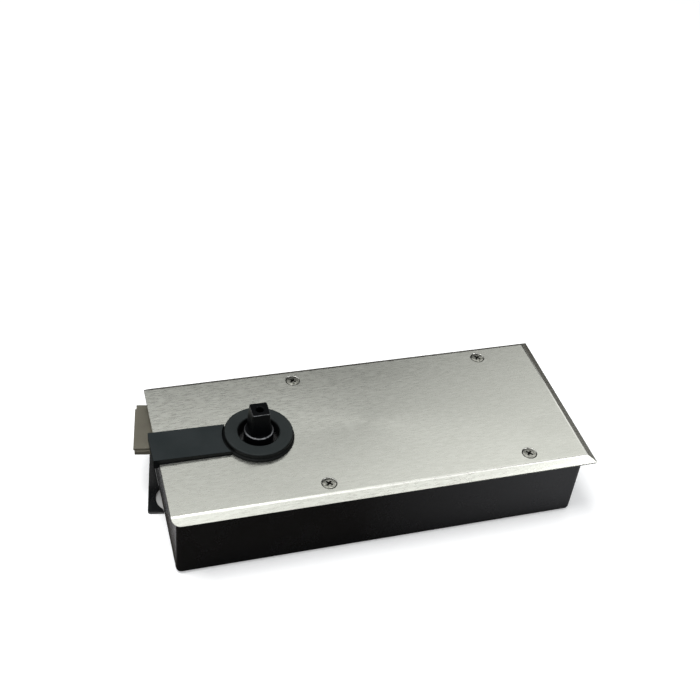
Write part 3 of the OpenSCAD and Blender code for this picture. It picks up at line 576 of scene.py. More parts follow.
@dataclass(frozen=True)
class Painted:
    """Paint or oxide on steel: a sheen over a faint orange peel, with dust in places.

    A painted sheen lies beyond a place on X and grows paler up to a height. Further out the colour turns a
    paler grey below a low height. Stripes of height carry painted highlights, strongest at the front.
    """

    colour: Colour
    dust: Colour
    rough: Range = (0.16, 0.26)
    coat: float = 0.0
    gloss: float = 0.5
    peel: float = 260.0
    cloud: float = 35.0
    dusty: float = 0.25
    depth: float = 0.03 * MM
    # painted sheen: the wall's place on X and the height where it is palest
    painted_sheen: Range | None = None
    painted_sheen_foot: float = 4 * MM
    painted_sheen_colour: Colour = (0.33, 0.33, 0.34)
    # heights where the paler grey beyond the wall fades out, and that grey
    pale_foot_heights: Range = (1.5 * MM, 1.8 * MM)
    pale_foot_colour: Colour = (0.13, 0.13, 0.13)
    # painted highlights: their heights, the radius inside which there are none, and their colour
    painted_highlight_heights: tuple[Range, ...] = ()
    painted_highlight_radius: float = 4.4 * MM
    painted_highlight_colour: Colour = (0.2, 0.204, 0.21)

    def material(self, name: str) -> bpy.types.Material:
        """Builds the paint.

        Args:
            name: Name of the material.

        Returns:
            The finished material.
        """
        tree = Nodes.start(name)
        peel = tree.noise((self.peel,) * 3, detail=2.0)
        clouds = tree.noise((self.cloud,) * 3, detail=5.0, roughness=0.65)
        colour = tree.blend(tree.span(clouds, 0.0, self.dusty, 0.48, 0.75), self.colour, self.dust)
        # painted sheen: the outer side of the left wall turns paler towards its top
        if self.painted_sheen is not None:
            wall, height = self.painted_sheen
            side = tree.along(Axis.X, 1.0, 0.0, wall, wall + 0.4 * MM)
            painted_sheen_amount = tree.times(side, tree.along(Axis.Z, 0.0, 1.0, self.painted_sheen_foot, height))
            colour = tree.blend(painted_sheen_amount, colour, self.painted_sheen_colour)
            # beyond the wall the colour turns a paler grey below a low height
            beyond = tree.along(Axis.X, 1.0, 0.0, wall - 0.7 * MM, wall - 0.4 * MM)
            bare = tree.times(beyond, tree.along(Axis.Z, 1.0, 0.0, *self.pale_foot_heights))
            colour = tree.blend(bare, colour, self.pale_foot_colour)
        # painted highlights: bright rings at given heights, strongest at the front and broken up by the peel
        for low, high in self.painted_highlight_heights:
            painted_highlight_zone = tree.times(tree.between(Axis.Z, low, high, 0.1 * MM), tree.outside(self.painted_highlight_radius))
            painted_highlight = tree.times(tree.span(peel, 0.35, 1.0), tree.along(Axis.Y, 1.0, 0.12, -7 * MM, 2 * MM))
            colour = tree.blend(tree.times(painted_highlight_zone, painted_highlight), colour, self.painted_highlight_colour)
        tree.relief(peel, 0.25, self.depth)
        return tree.dress(
            colour, tree.span(clouds, *self.rough), Specular_IOR_Level=self.gloss, Coat_Weight=self.coat,
            Coat_Roughness=0.12,
        )


@dataclass(frozen=True)
class Grained:
    """A surface with an even grain in all directions, as of cast or plated metal, which may carry painted
    shade before a place.
    """

    light: Colour
    dark: Colour
    rough: Range = (0.25, 0.4)
    metallic: float = 1.0
    grain: float = 500.0
    depth: float = 0.01 * MM
    cloud: float = 90.0
    gloss: float = 0.5
    contrast: float = 1.0
    details: Range = (4.0, 4.0)
    strength: float = 0.5
    # painted shade: a dark colour before a place along an axis
    below: tuple[Axis, Range, Colour] | None = None  # where it changes, and its colour before that

    def material(self, name: str) -> bpy.types.Material:
        """Builds the grained surface.

        Args:
            name: Name of the material.

        Returns:
            The finished material.
        """
        tree = Nodes.start(name)
        fine, broad = self.details
        grain = tree.noise((self.grain,) * 3, detail=fine)
        clouds = tree.noise((self.cloud,) * 3, detail=broad)
        colour = tree.blend(tree.span(clouds, 0.0, self.contrast), self.dark, self.light)
        # painted shade: the colour turns dark before a place along an axis
        if self.below is not None:
            axis, edge, other = self.below
            colour = tree.blend(tree.along(axis, 1.0, 0.0, *edge), colour, other)
        tree.relief(grain, self.strength, self.depth)
        return tree.dress(
            colour, tree.span(grain, *self.rough), Metallic=self.metallic, Specular_IOR_Level=self.gloss
        )


@dataclass(frozen=True)
class Matte(Grained):
    """Moulded plastic or rubber with a finer grain."""

    metallic: float = 0.0
    grain: float = 1400.0
    depth: float = 0.03 * MM
    cloud: float = 60.0
    contrast: float = 0.6
    details: Range = (2.0, 3.0)
    strength: float = 0.3


class Finish(Enum):
    """The finishes of the closer, each under the name of the record's slot."""

    # painted sheen on the box's left wall, paler towards the top
    BOX_PAINT = Painted(
        (0.0022, 0.0026, 0.0034), (0.006, 0.0065, 0.0078), (0.2, 0.3), gloss=0.45, painted_sheen=(-62.6 * MM, 56 * MM)
    )
    BRUSHED_COVER = Brushed((0.655, 0.665, 0.615), (0.605, 0.615, 0.565))
    # painted shade on the screws below the top of their heads: the cross recess and the rim
    NICKEL_SCREWS = Grained(
        (0.46, 0.46, 0.42), (0.12, 0.125, 0.105), (0.24, 0.36), cloud=650.0,
        below=(Axis.Z, (59.64 * MM, 59.74 * MM), (0.02, 0.02, 0.018)),
    )
    # painted shade on the strip's front side
    STRIP_GREY = Matte(
        (0.019, 0.0225, 0.0235), (0.013, 0.0165, 0.0172), (0.42, 0.55), gloss=0.08,
        below=(Axis.Y, (-12.6 * MM, -12.35 * MM), (0.00208, 0.00264, 0.002752)),
    )
    # painted shade on the ring's sides and inside its hole, below the top
    RING_GREY = Matte(
        (0.021, 0.0245, 0.0245), (0.016, 0.0192, 0.0192), (0.45, 0.58), gloss=0.06,
        below=(Axis.Z, (64.65 * MM, 64.9 * MM), (0.00256, 0.003072, 0.003072)),
    )
    CLAMP_STEEL = Grained((0.135, 0.127, 0.098), (0.115, 0.107, 0.083), (0.38, 0.5), 0.45)
    ZINC_STEEL = Grained((0.62, 0.63, 0.62), (0.5, 0.51, 0.5))
    BLACK_STEEL = Grained((0.06, 0.06, 0.065), (0.04, 0.04, 0.042), (0.35, 0.5), 0.6)
    CAST_IRON = Grained((0.07, 0.07, 0.073), (0.04, 0.04, 0.043), (0.6, 0.8), 0.5, 700.0, 0.15 * MM)
    SEAL_RUBBER = Matte((0.03, 0.03, 0.03), (0.015, 0.015, 0.015), (0.6, 0.75))
    BEARING_STEEL = Grained((0.66, 0.66, 0.64), (0.56, 0.56, 0.55), (0.15, 0.25))
    # painted highlights on the collar's rounding and on the taper's top edge
    SPINDLE_BLACK = Painted(
        (0.0008, 0.001, 0.0013), (0.0025, 0.0025, 0.003), (0.3, 0.42), gloss=0.06, peel=420.0,
        painted_highlight_heights=((66.2 * MM, 66.78 * MM), (83.9 * MM, 84.28 * MM)),
    )
    WHITE_PTFE = Matte((0.85, 0.85, 0.82), (0.78, 0.78, 0.74), (0.35, 0.45))
    VALVE_BRASS = Grained((0.66, 0.50, 0.22), (0.55, 0.41, 0.18), (0.2, 0.32))
    SPRING_STEEL = Painted((0.06, 0.06, 0.065), (0.1, 0.1, 0.1), (0.3, 0.4), 0.1)

    @property
    def slot(self) -> str:
        """The record's slot of this finish."""
        return self.name.lower()

    @cache
    def material(self) -> bpy.types.Material:
        """Its material, built when it is first asked for."""
        return self.value.material(self.slot)


def put_on(obj: Piece, finish: Finish, *nodes: str, body: str = "housing") -> None:
    """Gives a new piece its finish and its body, hides the nodes that it stands for, and reports it.

    Args:
        obj: The finished piece.
        finish: Its finish.
        *nodes: The nodes that it replaces.
        body: Name of the body that it moves with.
    """
    obj.data.materials.clear()
    obj.data.materials.append(finish.material())
    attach(obj, body)
    finish.slot
    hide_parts(*nodes)
    LOG.info("%s: %d faces on body %s", obj.name, len(obj.data.polygons), body)


# ------ the sunk box


@dataclass
class CementBox:
    """The pressed box that is cast into the floor."""

    wall: float = 1.5 * MM
    bend: float = 3.6 * MM
    notch_width: float = 30 * MM
    notch_depth: float = 3.5 * MM

    def build(self) -> None:
        """Folds the box up from a block, opens its top and cuts the notch of the left wall."""
        low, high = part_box("cement_box")
        box = block("cement_box_shell", low, high)
        with editing(box):
            select(box, Kind.FACE, lambda f: f.normal.z > FACING)
            bpy.ops.mesh.delete(type="FACE")
            select(box, Kind.EDGE, lambda e: min(v.co.z for v in e.verts) < low.z + NEAR)
            bpy.ops.mesh.bevel(offset=self.bend, segments=6, affect="EDGES", clamp_overlap=True)
        thicken(box, self.wall)
        reach, half = self.wall + self.bend, self.notch_width / 2
        notch_low = (low.x - reach, -half, high.z - self.notch_depth)
        combine(box, Boolean.CUT, block("notch", notch_low, (low.x + reach, half, high.z + reach)))
        soften(box, 0.3 * MM, 2, 50)
        put_on(box, Finish.BOX_PAINT, "cement_box")


# ------ the cover and what sits on it


@dataclass
class CoverPlate:
    """The brushed cover with its sloping edges, its slot and its four countersunk screws."""

    sheet: float = 1.5 * MM
    slope_out: float = 5.1 * MM
    end_slope_out: float = 6.4 * MM
    fold: float = 1.0 * MM
    end_corner: float = 5.8 * MM
    slot_width: float = 26.2 * MM
    hole_radius: float = 18 * MM
    head_radius: float = 4.75 * MM
    head_rim: float = 0.4 * MM
    head_gap: float = 0.4 * MM
    head_bevel: Range = (0.45 * MM, 0.25 * MM)  # inwards and down
    crown: Range = (0.12 * MM, 0.09 * MM)  # in the middle and at its shoulder
    crown_share: float = 0.55
    shank_radius: float = 2.5 * MM
    shank_tip: float = 0.8 * MM
    cross_share: float = 0.66
    cross_half: float = 0.72 * MM
    cross_depth: float = 1.7 * MM
    cross_foot: Range = (0.45, 0.55)  # share of the length and the width left at the bottom
    pit: Range = (0.5 * MM, 1.5 * MM)  # radius at the bottom and at the top

    def build(self) -> None:
        """Makes the sheet and its screws."""
        self.build_sheet()
        self.build_screws()

    def screw_spots(self) -> list[Range]:
        """The places of the four screws, from the frame's own screws."""
        (low, high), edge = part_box("cover_screws"), self.head_radius
        return [(x, y) for x in (low.x + edge, high.x - edge) for y in (low.y + edge, high.y - edge)]

    def build_sheet(self) -> None:
        """Folds the sheet from a block: flat top, three sloping edges and an open left end."""
        low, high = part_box("cover_plate")
        sheet = block("cover_sheet", low, high)

        def is_top(v: bmesh.types.BMVert) -> bool:
            """True of a corner of the flat."""
            return v.co.z > high.z - NEAR

        with editing(sheet):
            for side in (-1, 1):
                select(sheet, Kind.VERT, lambda v: is_top(v) and v.co.y * side > 0)
                bpy.ops.transform.translate(value=(0, -side * self.slope_out, 0))
            select(sheet, Kind.VERT, lambda v: is_top(v) and v.co.x > 0)
            bpy.ops.transform.translate(value=(-self.end_slope_out, 0, 0))
            select(sheet, Kind.FACE, lambda f: f.normal.z < -FACING or f.normal.x < -FACING)
            bpy.ops.mesh.delete(type="FACE")
            select(sheet, Kind.VERT, lambda v: v.co.z < low.z + NEAR and v.co.x < low.x + NEAR)
            bpy.ops.mesh.bevel(offset=self.end_corner, segments=6, affect="VERTICES")
            select(sheet, Kind.EDGE, lambda e: all(is_top(v) for v in e.verts) and not e.is_boundary)
            bpy.ops.mesh.bevel(offset=self.fold, segments=3, affect="EDGES", clamp_overlap=True)
        thicken(sheet, self.sheet)
        deep, half = 4 * self.sheet, self.slot_width / 2
        slot = block("slot", (low.x - deep, -half, high.z - deep), (0, half, high.z + deep))
        hole = rod("hole", (0, 0, high.z - deep), 2 * deep, self.hole_radius)
        combine(sheet, Boolean.CUT, slot, hole)
        sink, shank, rim = self.head_radius + self.head_gap, self.shank_radius, self.head_rim
        cone = [(0, -deep), (shank, -deep), (shank, shank - sink - rim), (sink, -rim), (sink, self.sheet),
                (0, self.sheet)]
        for x, y in self.screw_spots():
            combine(sheet, Boolean.CUT, turned("sink", cone, (x, y, high.z), 64))
        soften(sheet, 0.22 * MM, 2, 40, shade=25)
        put_on(sheet, Finish.BRUSHED_COVER, "cover_plate")

    def build_screws(self) -> None:
        """Turns one countersunk screw, cuts its cross recess and copies it to the four places."""
        low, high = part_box("cover_screws")
        head, shank, rim, tip = self.head_radius, self.shank_radius, self.head_rim, self.shank_tip
        length = high.z - low.z
        bevel, drop = self.head_bevel
        middle, shoulder = self.crown
        outline = [(0, middle), (head * self.crown_share, shoulder), (head - bevel, 0), (head, -drop),
                   (head, -rim), (shank, shank - head - rim), (shank, tip - length), (shank - tip, -length),
                   (0, -length)]
        first, *others = self.screw_spots()
        top = (*first, high.z)
        screw = turned("cover_screw_1", outline, top, 72)
        self.cut_cross(screw, top)
        soften(screw, 0.08 * MM, 2, 40)
        twins = [
            copy_to(screw, f"cover_screw_{count}", (x - first[0], y - first[1], 0))
            for count, (x, y) in enumerate(others, start=2)
        ]
        for piece in (screw, *twins):
            put_on(piece, Finish.NICKEL_SCREWS, "cover_screws")

    def cut_cross(self, screw: Piece, top: Point) -> None:
        """Cuts a tapering cross recess into the head of a screw.

        Args:
            screw: The screw.
            top: Middle of its head.
        """
        reach, half, depth = self.cross_share * self.head_radius, self.cross_half, self.cross_depth
        for turn in (math.pi / 4, -math.pi / 4):
            blade = block("blade", (-reach, -half, -depth), (reach, half, MM))
            with editing(blade):
                select(blade, Kind.VERT, lambda v: v.co.z < 0)
                bpy.ops.transform.resize(value=(*self.cross_foot, 1))
            blade.data.transform(Matrix.Translation(Vector(top)) @ Matrix.Rotation(turn, 4, "Z"))
            combine(screw, Boolean.CUT, blade)
        foot, mouth = self.pit
        pit = rod("pit", (top[0], top[1], top[2] - depth), depth + MM, foot, tip=mouth, sides=24)
        combine(screw, Boolean.CUT, pit)


@dataclass
class SlotStrip:
    """The dark strip that fills the slot between the left edge and the ring."""

    width: float = 25.3 * MM
    sheet: float = 1.5 * MM
    ring_gap: float = 0.3 * MM
    wall_gap: float = 2.1 * MM
    border: float = 1.6 * MM
    dish: float = 0.18 * MM
    tilt: float = 1.5 * MM

    def build(self) -> None:
        """Folds the strip into a channel with a slightly sunk top that rises to its free end, and feet."""
        low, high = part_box("slot_strip")
        ring_low, ring_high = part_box("dust_ring")
        half = self.width / 2
        strip = block("slot_channel", (low.x, -half, low.z), (0, half, high.z))
        with editing(strip):
            select(strip, Kind.FACE, lambda f: f.normal.z > FACING)
            bpy.ops.mesh.inset(thickness=self.border, depth=0)
            bpy.ops.transform.translate(value=(0, 0, -self.dish))
            select(strip, Kind.VERT, lambda v: v.co.z > high.z - MM and v.co.x < (low.x + ring_low.x) / 2)
            bpy.ops.transform.translate(value=(0, 0, self.tilt))
        sheet = self.sheet
        foot_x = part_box("cement_box")[0].x + self.wall_gap
        feet = block("feet", (foot_x, -high.y, low.z + NEAR), (NEAR, high.y, low.z + sheet))
        combine(strip, Boolean.JOIN, feet)
        inner = half - sheet
        hollow = block("hollow", (low.x + sheet, -inner, low.z - sheet), (sheet, inner, high.z - sheet))
        tall = high.z - low.z + 2 * sheet
        round_end = rod("round_end", (0, 0, low.z - sheet), tall, ring_high.x + self.ring_gap)
        combine(strip, Boolean.CUT, hollow, round_end)
        soften(strip, 0.3 * MM, 3, 30)
        put_on(strip, Finish.STRIP_GREY, "slot_strip")


@dataclass
class DustRing:
    """The dark ring that closes the cover round the spindle, with each edge as steps from its corner."""

    hole_radius: float = 13.25 * MM
    hole_edge: Outline = ((0.0, -1.1 * MM), (0.9 * MM, 0.0))
    top_radius: float = 22.5 * MM
    top_edge: Outline = ((-1.1 * MM, 0.0), (0.0, -1.0 * MM))
    waist: Outline = ((-0.15 * MM, 0.4 * MM), (0.3 * MM, 0.0))
    foot_height: float = 1.6 * MM
    foot_edge: Outline = ((-0.3 * MM, -0.2 * MM), (0.0, -0.6 * MM))
    spigot_radius: float = 17.7 * MM

    def build(self) -> None:
        """Turns the ring with its foot, its waist and its spigot below the cover."""
        low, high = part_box("dust_ring")
        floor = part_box("cover_plate")[1].z
        tall, deep = high.z - floor, low.z - floor
        corners = (
            (self.hole_radius, tall, self.hole_edge), (self.top_radius, tall, self.top_edge),
            (self.top_radius, self.foot_height, self.waist), (high.x, self.foot_height, self.foot_edge),
        )
        upper = [(radius + out, height + up) for radius, height, edge in corners for out, up in edge]
        lower = [(high.x, 0), (self.spigot_radius, 0), (self.spigot_radius, deep)]
        ring = turned("dust_ring_turned", [(self.hole_radius, deep), *upper, *lower], (0, 0, floor), 160)
        soften(ring, 0.28 * MM, 3, 30)
        put_on(ring, Finish.RING_GREY, "dust_ring")


# ------ the spindle


def heading(angle: float) -> Vector:
    """The flat unit vector at an angle from X, in radians."""
    return Vector((math.cos(angle), math.sin(angle)))


@dataclass
class Spindle:
    """The shaft with its heart cam, its round collar and the square taper for the door's arm."""

    shaft_radius: float = 9.75 * MM
    journal_radius: float = 8.5 * MM
    journal_edge: float = 0.5 * MM
    shoulder_radius: float = 11.5 * MM
    shoulder_sunk: float = MM
    cap_gap: float = 0.6 * MM
    collar_rise: float = 7 * MM
    collar_edge: float = 1.2 * MM
    root: float = 13.5 * MM
    root_sunk: float = 0.5 * MM
    tip: float = 11.5 * MM
    tip_edge: float = 0.35 * MM
    corner: float = 0.9 * MM
    tap_radius: float = 2.5 * MM
    tap_depth: float = 15 * MM
    tap_mouth: float = 0.6 * MM
    cam_thickness: float = 13 * MM
    cam_base: float = 23 * MM
    cam_gain: float = STROKE / SWING
    cam_end: int = 145  # degrees
    cam_step: int = 5
    back_steps: int = 8
    notch_steps: int = 6
    roller_radius: float = 8.03 * MM

    def build(self) -> None:
        """Joins shaft, cam and taper into one piece."""
        low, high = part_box("spindle")
        roller_low, roller_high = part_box("roller")
        cam_z = (roller_low.z + roller_high.z - self.cam_thickness) / 2
        step, top = cam_z + self.shoulder_sunk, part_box("bearing_cap")[0].z - self.cap_gap
        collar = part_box("cover_plate")[1].z + self.collar_rise
        journal, shoulder, shaft = self.journal_radius, self.shoulder_radius, self.shaft_radius
        chamfer, edge = self.journal_edge, self.collar_edge
        rounding = [
            (shaft - edge * (1 - math.cos(a)), collar - edge * (1 - math.sin(a)))
            for a in map(math.radians, range(0, 91, 15))
        ]
        outline = [(0, low.z), (journal - chamfer, low.z), (journal, low.z + chamfer), (journal, step),
                   (shoulder, step), (shoulder, top), (shaft, top), *rounding, (0, collar)]
        spindle = turned("spindle_turned", outline, (0, 0, 0))
        cam = plate("cam", self.cam_outline(), cam_z, self.cam_thickness)
        combine(spindle, Boolean.JOIN, cam, self.taper(collar, high.z))
        radius, mouth = self.tap_radius, self.tap_mouth
        tap = rod("tap", (0, 0, high.z - self.tap_depth), self.tap_depth + MM, radius, sides=64)
        flare = rod("flare", (0, 0, high.z - mouth), 2 * mouth, radius, tip=radius + 2 * mouth, sides=64)
        combine(spindle, Boolean.CUT, tap, flare)
        smooth(spindle)
        put_on(spindle, Finish.SPINDLE_BLACK, "spindle", body="spindle")

    def taper(self, low: float, high: float) -> Piece:
        """Draws in the top of a square block and rounds its upright corners.

        Args:
            low: Height of the taper's root.
            high: Height of its tip.

        Returns:
            The taper as a loose piece.
        """
        half, ratio = self.root / 2, self.tip / self.root
        taper = block("taper", (-half, -half, low - self.root_sunk), (half, half, high))
        with editing(taper):
            select(taper, Kind.VERT, lambda v: v.co.z > high - NEAR)
            bpy.ops.transform.resize(value=(ratio, ratio, 1), center_override=(0, 0, high))
            select(taper, Kind.EDGE, lambda e: abs(e.verts[0].co.z - e.verts[1].co.z) > MM)
            bpy.ops.mesh.bevel(offset=self.corner, segments=3, affect="EDGES")
            select(taper, Kind.EDGE, lambda e: all(v.co.z > high - NEAR for v in e.verts))
            bpy.ops.mesh.bevel(offset=self.tip_edge, segments=2, affect="EDGES", clamp_overlap=True)
        return taper

    def cam_outline(self) -> Outline:
        """Draws the heart cam: two spiral flanks, the round back and the notch of the closed door.

        Returns:
            Its corners as (x, y) pairs.
        """
        flank = []
        for angle in map(math.radians, range(0, self.cam_end + 1, self.cam_step)):
            reach, along = self.cam_base + self.cam_gain * angle, heading(angle)
            normal = (reach * along - self.cam_gain * Vector((-along.y, along.x))).normalized()
            flank.append(reach * along - self.roller_radius * normal)
        end, radius, steps = math.radians(self.cam_end), flank[-1].length, self.back_steps
        back = [heading(end + (math.tau - 2 * end) * i / steps) * radius for i in range(1, steps)]
        rest = Vector((self.cam_base, 0))
        first = math.atan2(flank[0].y, flank[0].x - self.cam_base)
        notch = [
            rest + heading((math.tau - 2 * first) * i / self.notch_steps - first) * self.roller_radius
            for i in range(1, self.notch_steps)
        ]
        mirrored = [Vector((p.x, -p.y)) for p in reversed(flank)]
        return [tuple(p) for p in (*flank, *back, *mirrored, *notch)]


# ------ anchors outside the left wall


@dataclass(frozen=True)
class Bar:
    """A flat bar outside the wall: its node, its turning point, its start beyond that point, and its form."""

    name: str
    node: str
    finish: Finish
    out: float
    near: float
    length: float
    start: Range = (0.0, 0.0)
    corner: float = 0.0
    edge: float = 0.25 * MM


@dataclass
class WallAnchors:
    """The plate at floor level and the stepped clamp piece, both turned a little and cut at the wall."""

    turn: float = math.radians(-9.6)
    through: float = 2.2  # width of an uncut bar, as a share of what stands out
    hole_radius: float = 14.2 * MM
    hole_out: float = 3.8 * MM
    hole_y: float = 10.2 * MM
    bore_radius: float = 1.25 * MM
    bore_from_side: float = 2.16 * MM
    tab: Bar = Bar(
        "anchor_tab", "anchor_plate", Finish.BOX_PAINT, 10.6 * MM, 0, 54 * MM, corner=2 * MM, edge=0.35 * MM
    )
    clamp: Bar = Bar("clamp_top", "clamp_plate", Finish.CLAMP_STEEL, 16.5 * MM, 15.5 * MM, 37 * MM)
    step: Bar = Bar(
        "clamp_step", "clamp_block", Finish.CLAMP_STEEL, 16.5 * MM, 15.5 * MM, 43.6 * MM,
        start=(0.7 * MM, -0.6 * MM),
    )

    def build(self) -> None:
        """Makes the plate with its round cut-out, the clamp's top plate and the step under it."""
        self.make(self.tab, self.cut_out())
        self.make(self.clamp)
        self.make(self.step, *self.screw_bores())

    @property
    def wall(self) -> float:
        """Place of the outer side of the box's left wall along X, in metres."""
        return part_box("cement_box")[0].x

    def cut_out(self) -> Piece:
        """Makes the cutter for the plate's round cut-out.

        Returns:
            The cutter.
        """
        low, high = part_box(self.tab.node)
        base = (self.wall - self.hole_out + self.hole_radius, self.hole_y, low.z - MM)
        return rod("hole", base, high.z - low.z + 2 * MM, self.hole_radius, sides=128)

    def screw_bores(self) -> list[Piece]:
        """Makes the cutters for the clamp screws, through the middle of the step.

        Returns:
            The cutters.
        """
        step_low, step_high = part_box(self.step.node)
        low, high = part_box("clamp_screws")
        x, z = low.x - 0.5 * MM, (step_low.z + step_high.z) / 2
        sides = (low.y + self.bore_from_side, high.y - self.bore_from_side)
        return [rod("bore", (x, y, z), self.wall - x + MM, self.bore_radius, Axis.X) for y in sides]

    def make(self, bar: Bar, *cutters: Piece) -> None:
        """Turns a flat bar about its turning point, cuts it off at the wall and finishes it.

        Args:
            bar: Its description.
            *cutters: What is cut out of it.
        """
        low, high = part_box(bar.node)
        pivot = Vector((self.wall - bar.out, bar.near, low.z))
        first = pivot + Vector((*bar.start, 0))
        piece = block(bar.name, first, first + Vector((self.through * bar.out, bar.length, high.z - low.z)))
        with editing(piece):
            if bar.corner:
                select(piece, Kind.EDGE, lambda e: all((v.co - first).xy.length < NEAR for v in e.verts))
                bpy.ops.mesh.bevel(offset=bar.corner, segments=6, affect="EDGES")
            bpy.ops.mesh.select_all(action="SELECT")
            bpy.ops.transform.rotate(value=-self.turn, orient_axis="Z", center_override=pivot)
            bpy.ops.mesh.bisect(
                plane_co=(self.wall, 0, 0), plane_no=(1, 0, 0), use_fill=True, clear_outer=True
            )
        combine(piece, Boolean.CUT, *cutters)
        soften(piece, bar.edge, 2, 40)
        put_on(piece, bar.finish, bar.node)


# ------ the body inside


@dataclass
class InnerWorks:
    """What lies inside the box: the closing spring, and the nodes that keep their solids."""

    stroke: float = STROKE

    def build(self) -> None:
        """Makes the spring and dresses every node that no new piece stands for."""
        self.build_spring()
        finishes = {finish.slot: finish for finish in Finish}
        for part in frame["record"]["subparts"]:
            node = frame["nodes"][part["node"]]
            if not node.hide_render:
                for slot in node.material_slots:
                    slot.material = finishes[part["material_slot"]].material()
                LOG.info("%s keeps its solid", part["node"])

    def build_spring(self) -> None:
        """Makes a piece of its own from the spring's solid."""
        coil = copy_to(frame["nodes"]["spring"], "spring_coil")
        with editing(coil, everything=True):
            bpy.ops.mesh.remove_doubles(threshold=MERGE)
        smooth(coil)
        put_on(coil, Finish.SPRING_STEEL, "spring")
        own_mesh(coil)


# ------ studio


def set_up(data: bpy.types.Light | bpy.types.Camera, place: Point, turn: Quaternion) -> Piece:
    """Adds a lamp or a camera to the scene.

    Args:
        data: The lamp or the camera.
        place: Its place, in metres.
        turn: Its turn.

    Returns:
        The new object.
    """
    obj = bpy.data.objects.new(data.name, data)
    bpy.context.scene.collection.objects.link(obj)
    obj.location = place
    obj.rotation_mode = "QUATERNION"
    obj.rotation_quaternion = turn
    return obj


@dataclass(frozen=True)
class Lamp:
    """A square lamp that faces the cover, with its side in metres, its watts and its share in reflections."""

    name: str
    place: Triple
    side: float
    power: float
    shine: float
    target: Triple = (0.07, 0.0, 0.05)

    def hang(self) -> None:
        """Adds the lamp to the scene."""
        light = bpy.data.lights.new(self.name, "AREA")
        light.shape = "SQUARE"
        light.size = self.side
        light.energy = self.power
        light.specular_factor = self.shine
        ahead = Vector(self.target) - Vector(self.place)
        set_up(light, self.place, ahead.to_track_quat("-Z", "Y"))


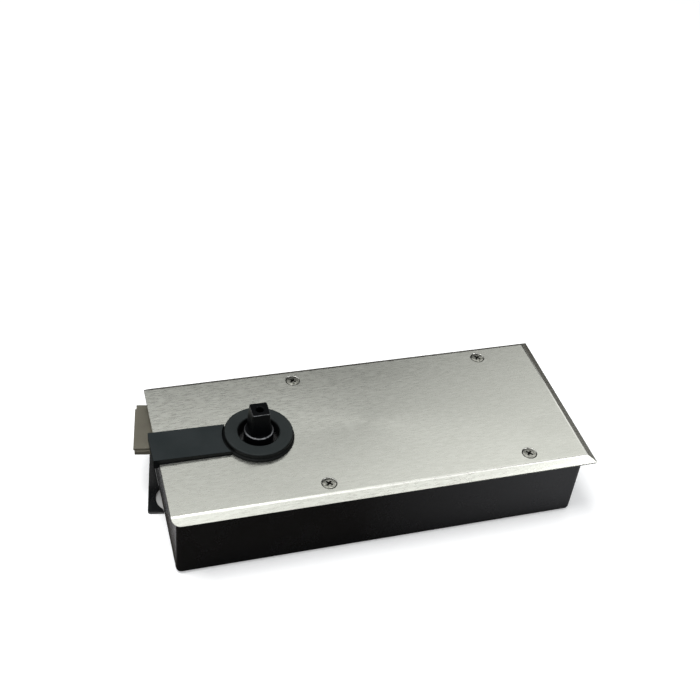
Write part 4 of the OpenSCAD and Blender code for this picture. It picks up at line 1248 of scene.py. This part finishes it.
@dataclass
class Studio:
    """Plain pale floor, soft light and the camera."""

    azimuth: float = 20.29
    elevation: float = 40.27
    roll: float = 6.7
    distance: float = 805.2 * MM
    aim: Range = (83.1 * MM, 72.9 * MM)
    lens: float = 57.73
    floor_size: float = 12.0
    floor_z: float = -0.05 * MM
    floor_glow: float = 0.2
    floor_colour: Colour = (0.88, 0.88, 0.88)
    floor_in_mirror: Colour = (0.055, 0.047, 0.037)
    floor_in_front: Colour = (0.42, 0.42, 0.43)
    # painted shadow on the floor under the anchor plate's hole: its colour and its place
    painted_shadow_colour: Colour = (0.5, 0.5, 0.49)
    painted_shadow_x: Range = (-70 * MM, -40 * MM)
    painted_shadow_y: Range = (-1 * MM, 25 * MM)
    front_glow: Range = (1.4, 0.32)
    back_glow: Range = (1.34, 0.0)
    horizon_glow: float = 0.05
    left_gain: float = 1.2
    lamps: tuple[Lamp, ...] = (
        Lamp("overhead", (-0.3, -0.1, 1.4), 0.6, 16.0, 1.0),
        Lamp("front_right", (1.3, -1.1, 1.1), 0.8, 8.0, 0.3),
    )

    def build(self) -> None:
        """Sets up floor, world, lamps and camera."""
        bpy.context.scene.view_settings.view_transform = "Standard"
        self.build_floor()
        self.build_world()
        for lamp in self.lamps:
            lamp.hang()
        self.build_camera()

    def build_floor(self) -> None:
        """Lays a pale floor, darker in reflections and with a painted shadow under the anchor plate's hole.
        """
        bpy.ops.object.select_all(action="DESELECT")
        bpy.ops.mesh.primitive_plane_add(size=self.floor_size, location=(0, 0, self.floor_z))
        floor = bpy.context.active_object
        floor.name = "studio_floor"
        tree = Nodes.start("studio_floor")
        rays = tree.add("ShaderNodeLightPath")
        right = tree.along(Axis.X, 0.0, 1.0, 60 * MM, 215 * MM)
        front = tree.times(right, tree.along(Axis.Y, 1.0, 0.0, -60 * MM, -50 * MM))
        mirrored = tree.blend(front, self.floor_in_mirror, self.floor_in_front)
        # painted shadow: a darker patch of floor, without glow, under the anchor plate's hole
        recess = tree.times(tree.between(Axis.X, *self.painted_shadow_x), tree.between(Axis.Y, *self.painted_shadow_y))
        plain = tree.blend(recess, self.floor_colour, self.painted_shadow_colour)
        colour = tree.blend(rays.outputs["Is Glossy Ray"], plain, mirrored)
        glow = tree.span(rays.outputs["Is Camera Ray"], 0.0, self.floor_glow, 0.0, 1.0)
        glow = tree.times(glow, tree.span(recess, 1.0, 0.0, 0.0, 1.0))
        tree.link(glow, tree.shader.inputs["Emission Strength"])
        floor.data.materials.append(
            tree.dress(colour, Roughness=0.9, Specular_IOR_Level=0.0, Emission_Color=(1.0, 1.0, 1.0, 1.0))
        )

    def build_world(self) -> None:
        """Lights everything softly, is white where the camera sees it and shaded where metal mirrors it."""
        world = bpy.data.worlds.new("studio")
        bpy.context.scene.world = world
        world.use_nodes = True
        world.node_tree.nodes.clear()
        tree = Nodes(world)
        soft = tree.add("ShaderNodeBackground", Color=(0.96, 0.98, 1.0, 1.0), Strength=0.6)
        mirrored = tree.add("ShaderNodeBackground", Color=(1.0, 1.0, 0.985, 1.0))
        tree.link(self.mirrored_strength(tree), mirrored.inputs["Strength"])
        white = tree.add("ShaderNodeBackground", Color=(1.0, 1.0, 1.0, 1.0), Strength=1.0)
        rays = tree.add("ShaderNodeLightPath")
        result = soft.outputs[0]
        for ray, other in (("Is Glossy Ray", mirrored), ("Is Camera Ray", white)):
            mix = tree.add("ShaderNodeMixShader")
            result = tree.feed(mix, {0: rays.outputs[ray], 1: result, 2: other.outputs[0]})
        tree.link(result, tree.add("ShaderNodeOutputWorld").inputs["Surface"])

    def mirrored_strength(self, tree: Nodes) -> Socket:
        """Sets how bright a mirror shows the room.

        It fades rightwards in front and upwards behind, is brighter at the left and dark at the horizon.

        Args:
            tree: The world's tree.

        Returns:
            The strength.
        """
        way = tree.add("ShaderNodeTexCoord")
        split = tree.add("ShaderNodeSeparateXYZ")
        tree.link(way.outputs["Generated"], split.inputs[0])
        across, along, up = split.outputs
        front = tree.span(across, *self.front_glow, -0.2, 0.6)
        back = tree.span(along, *self.back_glow, 0.61, 0.70)
        behind = tree.span(along, 0.0, 1.0, 0.0, 0.45)
        room = tree.feed(tree.add("ShaderNodeMix"), {0: behind, 2: front, 3: back})
        dimmed = tree.times(room, tree.span(up, self.horizon_glow, 1.0, 0.0, 0.35))
        return tree.times(dimmed, tree.span(across, self.left_gain, 1.0, 0.05, 0.35))

    def build_camera(self) -> None:
        """Places the camera at its azimuth, elevation and roll round a point of the cover's plane."""
        a, e = math.radians(self.azimuth), math.radians(self.elevation)
        aim = Vector((*self.aim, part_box("cover_plate")[1].z))
        ahead = Vector((math.sin(a) * math.cos(e), math.cos(a) * math.cos(e), -math.sin(e)))
        level = ahead.to_track_quat("-Z", "Y").to_matrix()
        turn = (level @ Matrix.Rotation(math.radians(self.roll), 3, "Z")).to_quaternion()
        camera = bpy.data.cameras.new("camera")
        camera.lens = self.lens
        camera.clip_start = 0.01
        bpy.context.scene.camera = set_up(camera, aim - ahead * self.distance, turn)


# ------ all of it


def main() -> None:
    for assembly in (Studio, CementBox, CoverPlate, SlotStrip, DustRing, Spindle, WallAnchors, InnerWorks):
        assembly().build()
        LOG.info("%s is done", assembly.__name__)


if __name__ == "__main__":
    main()
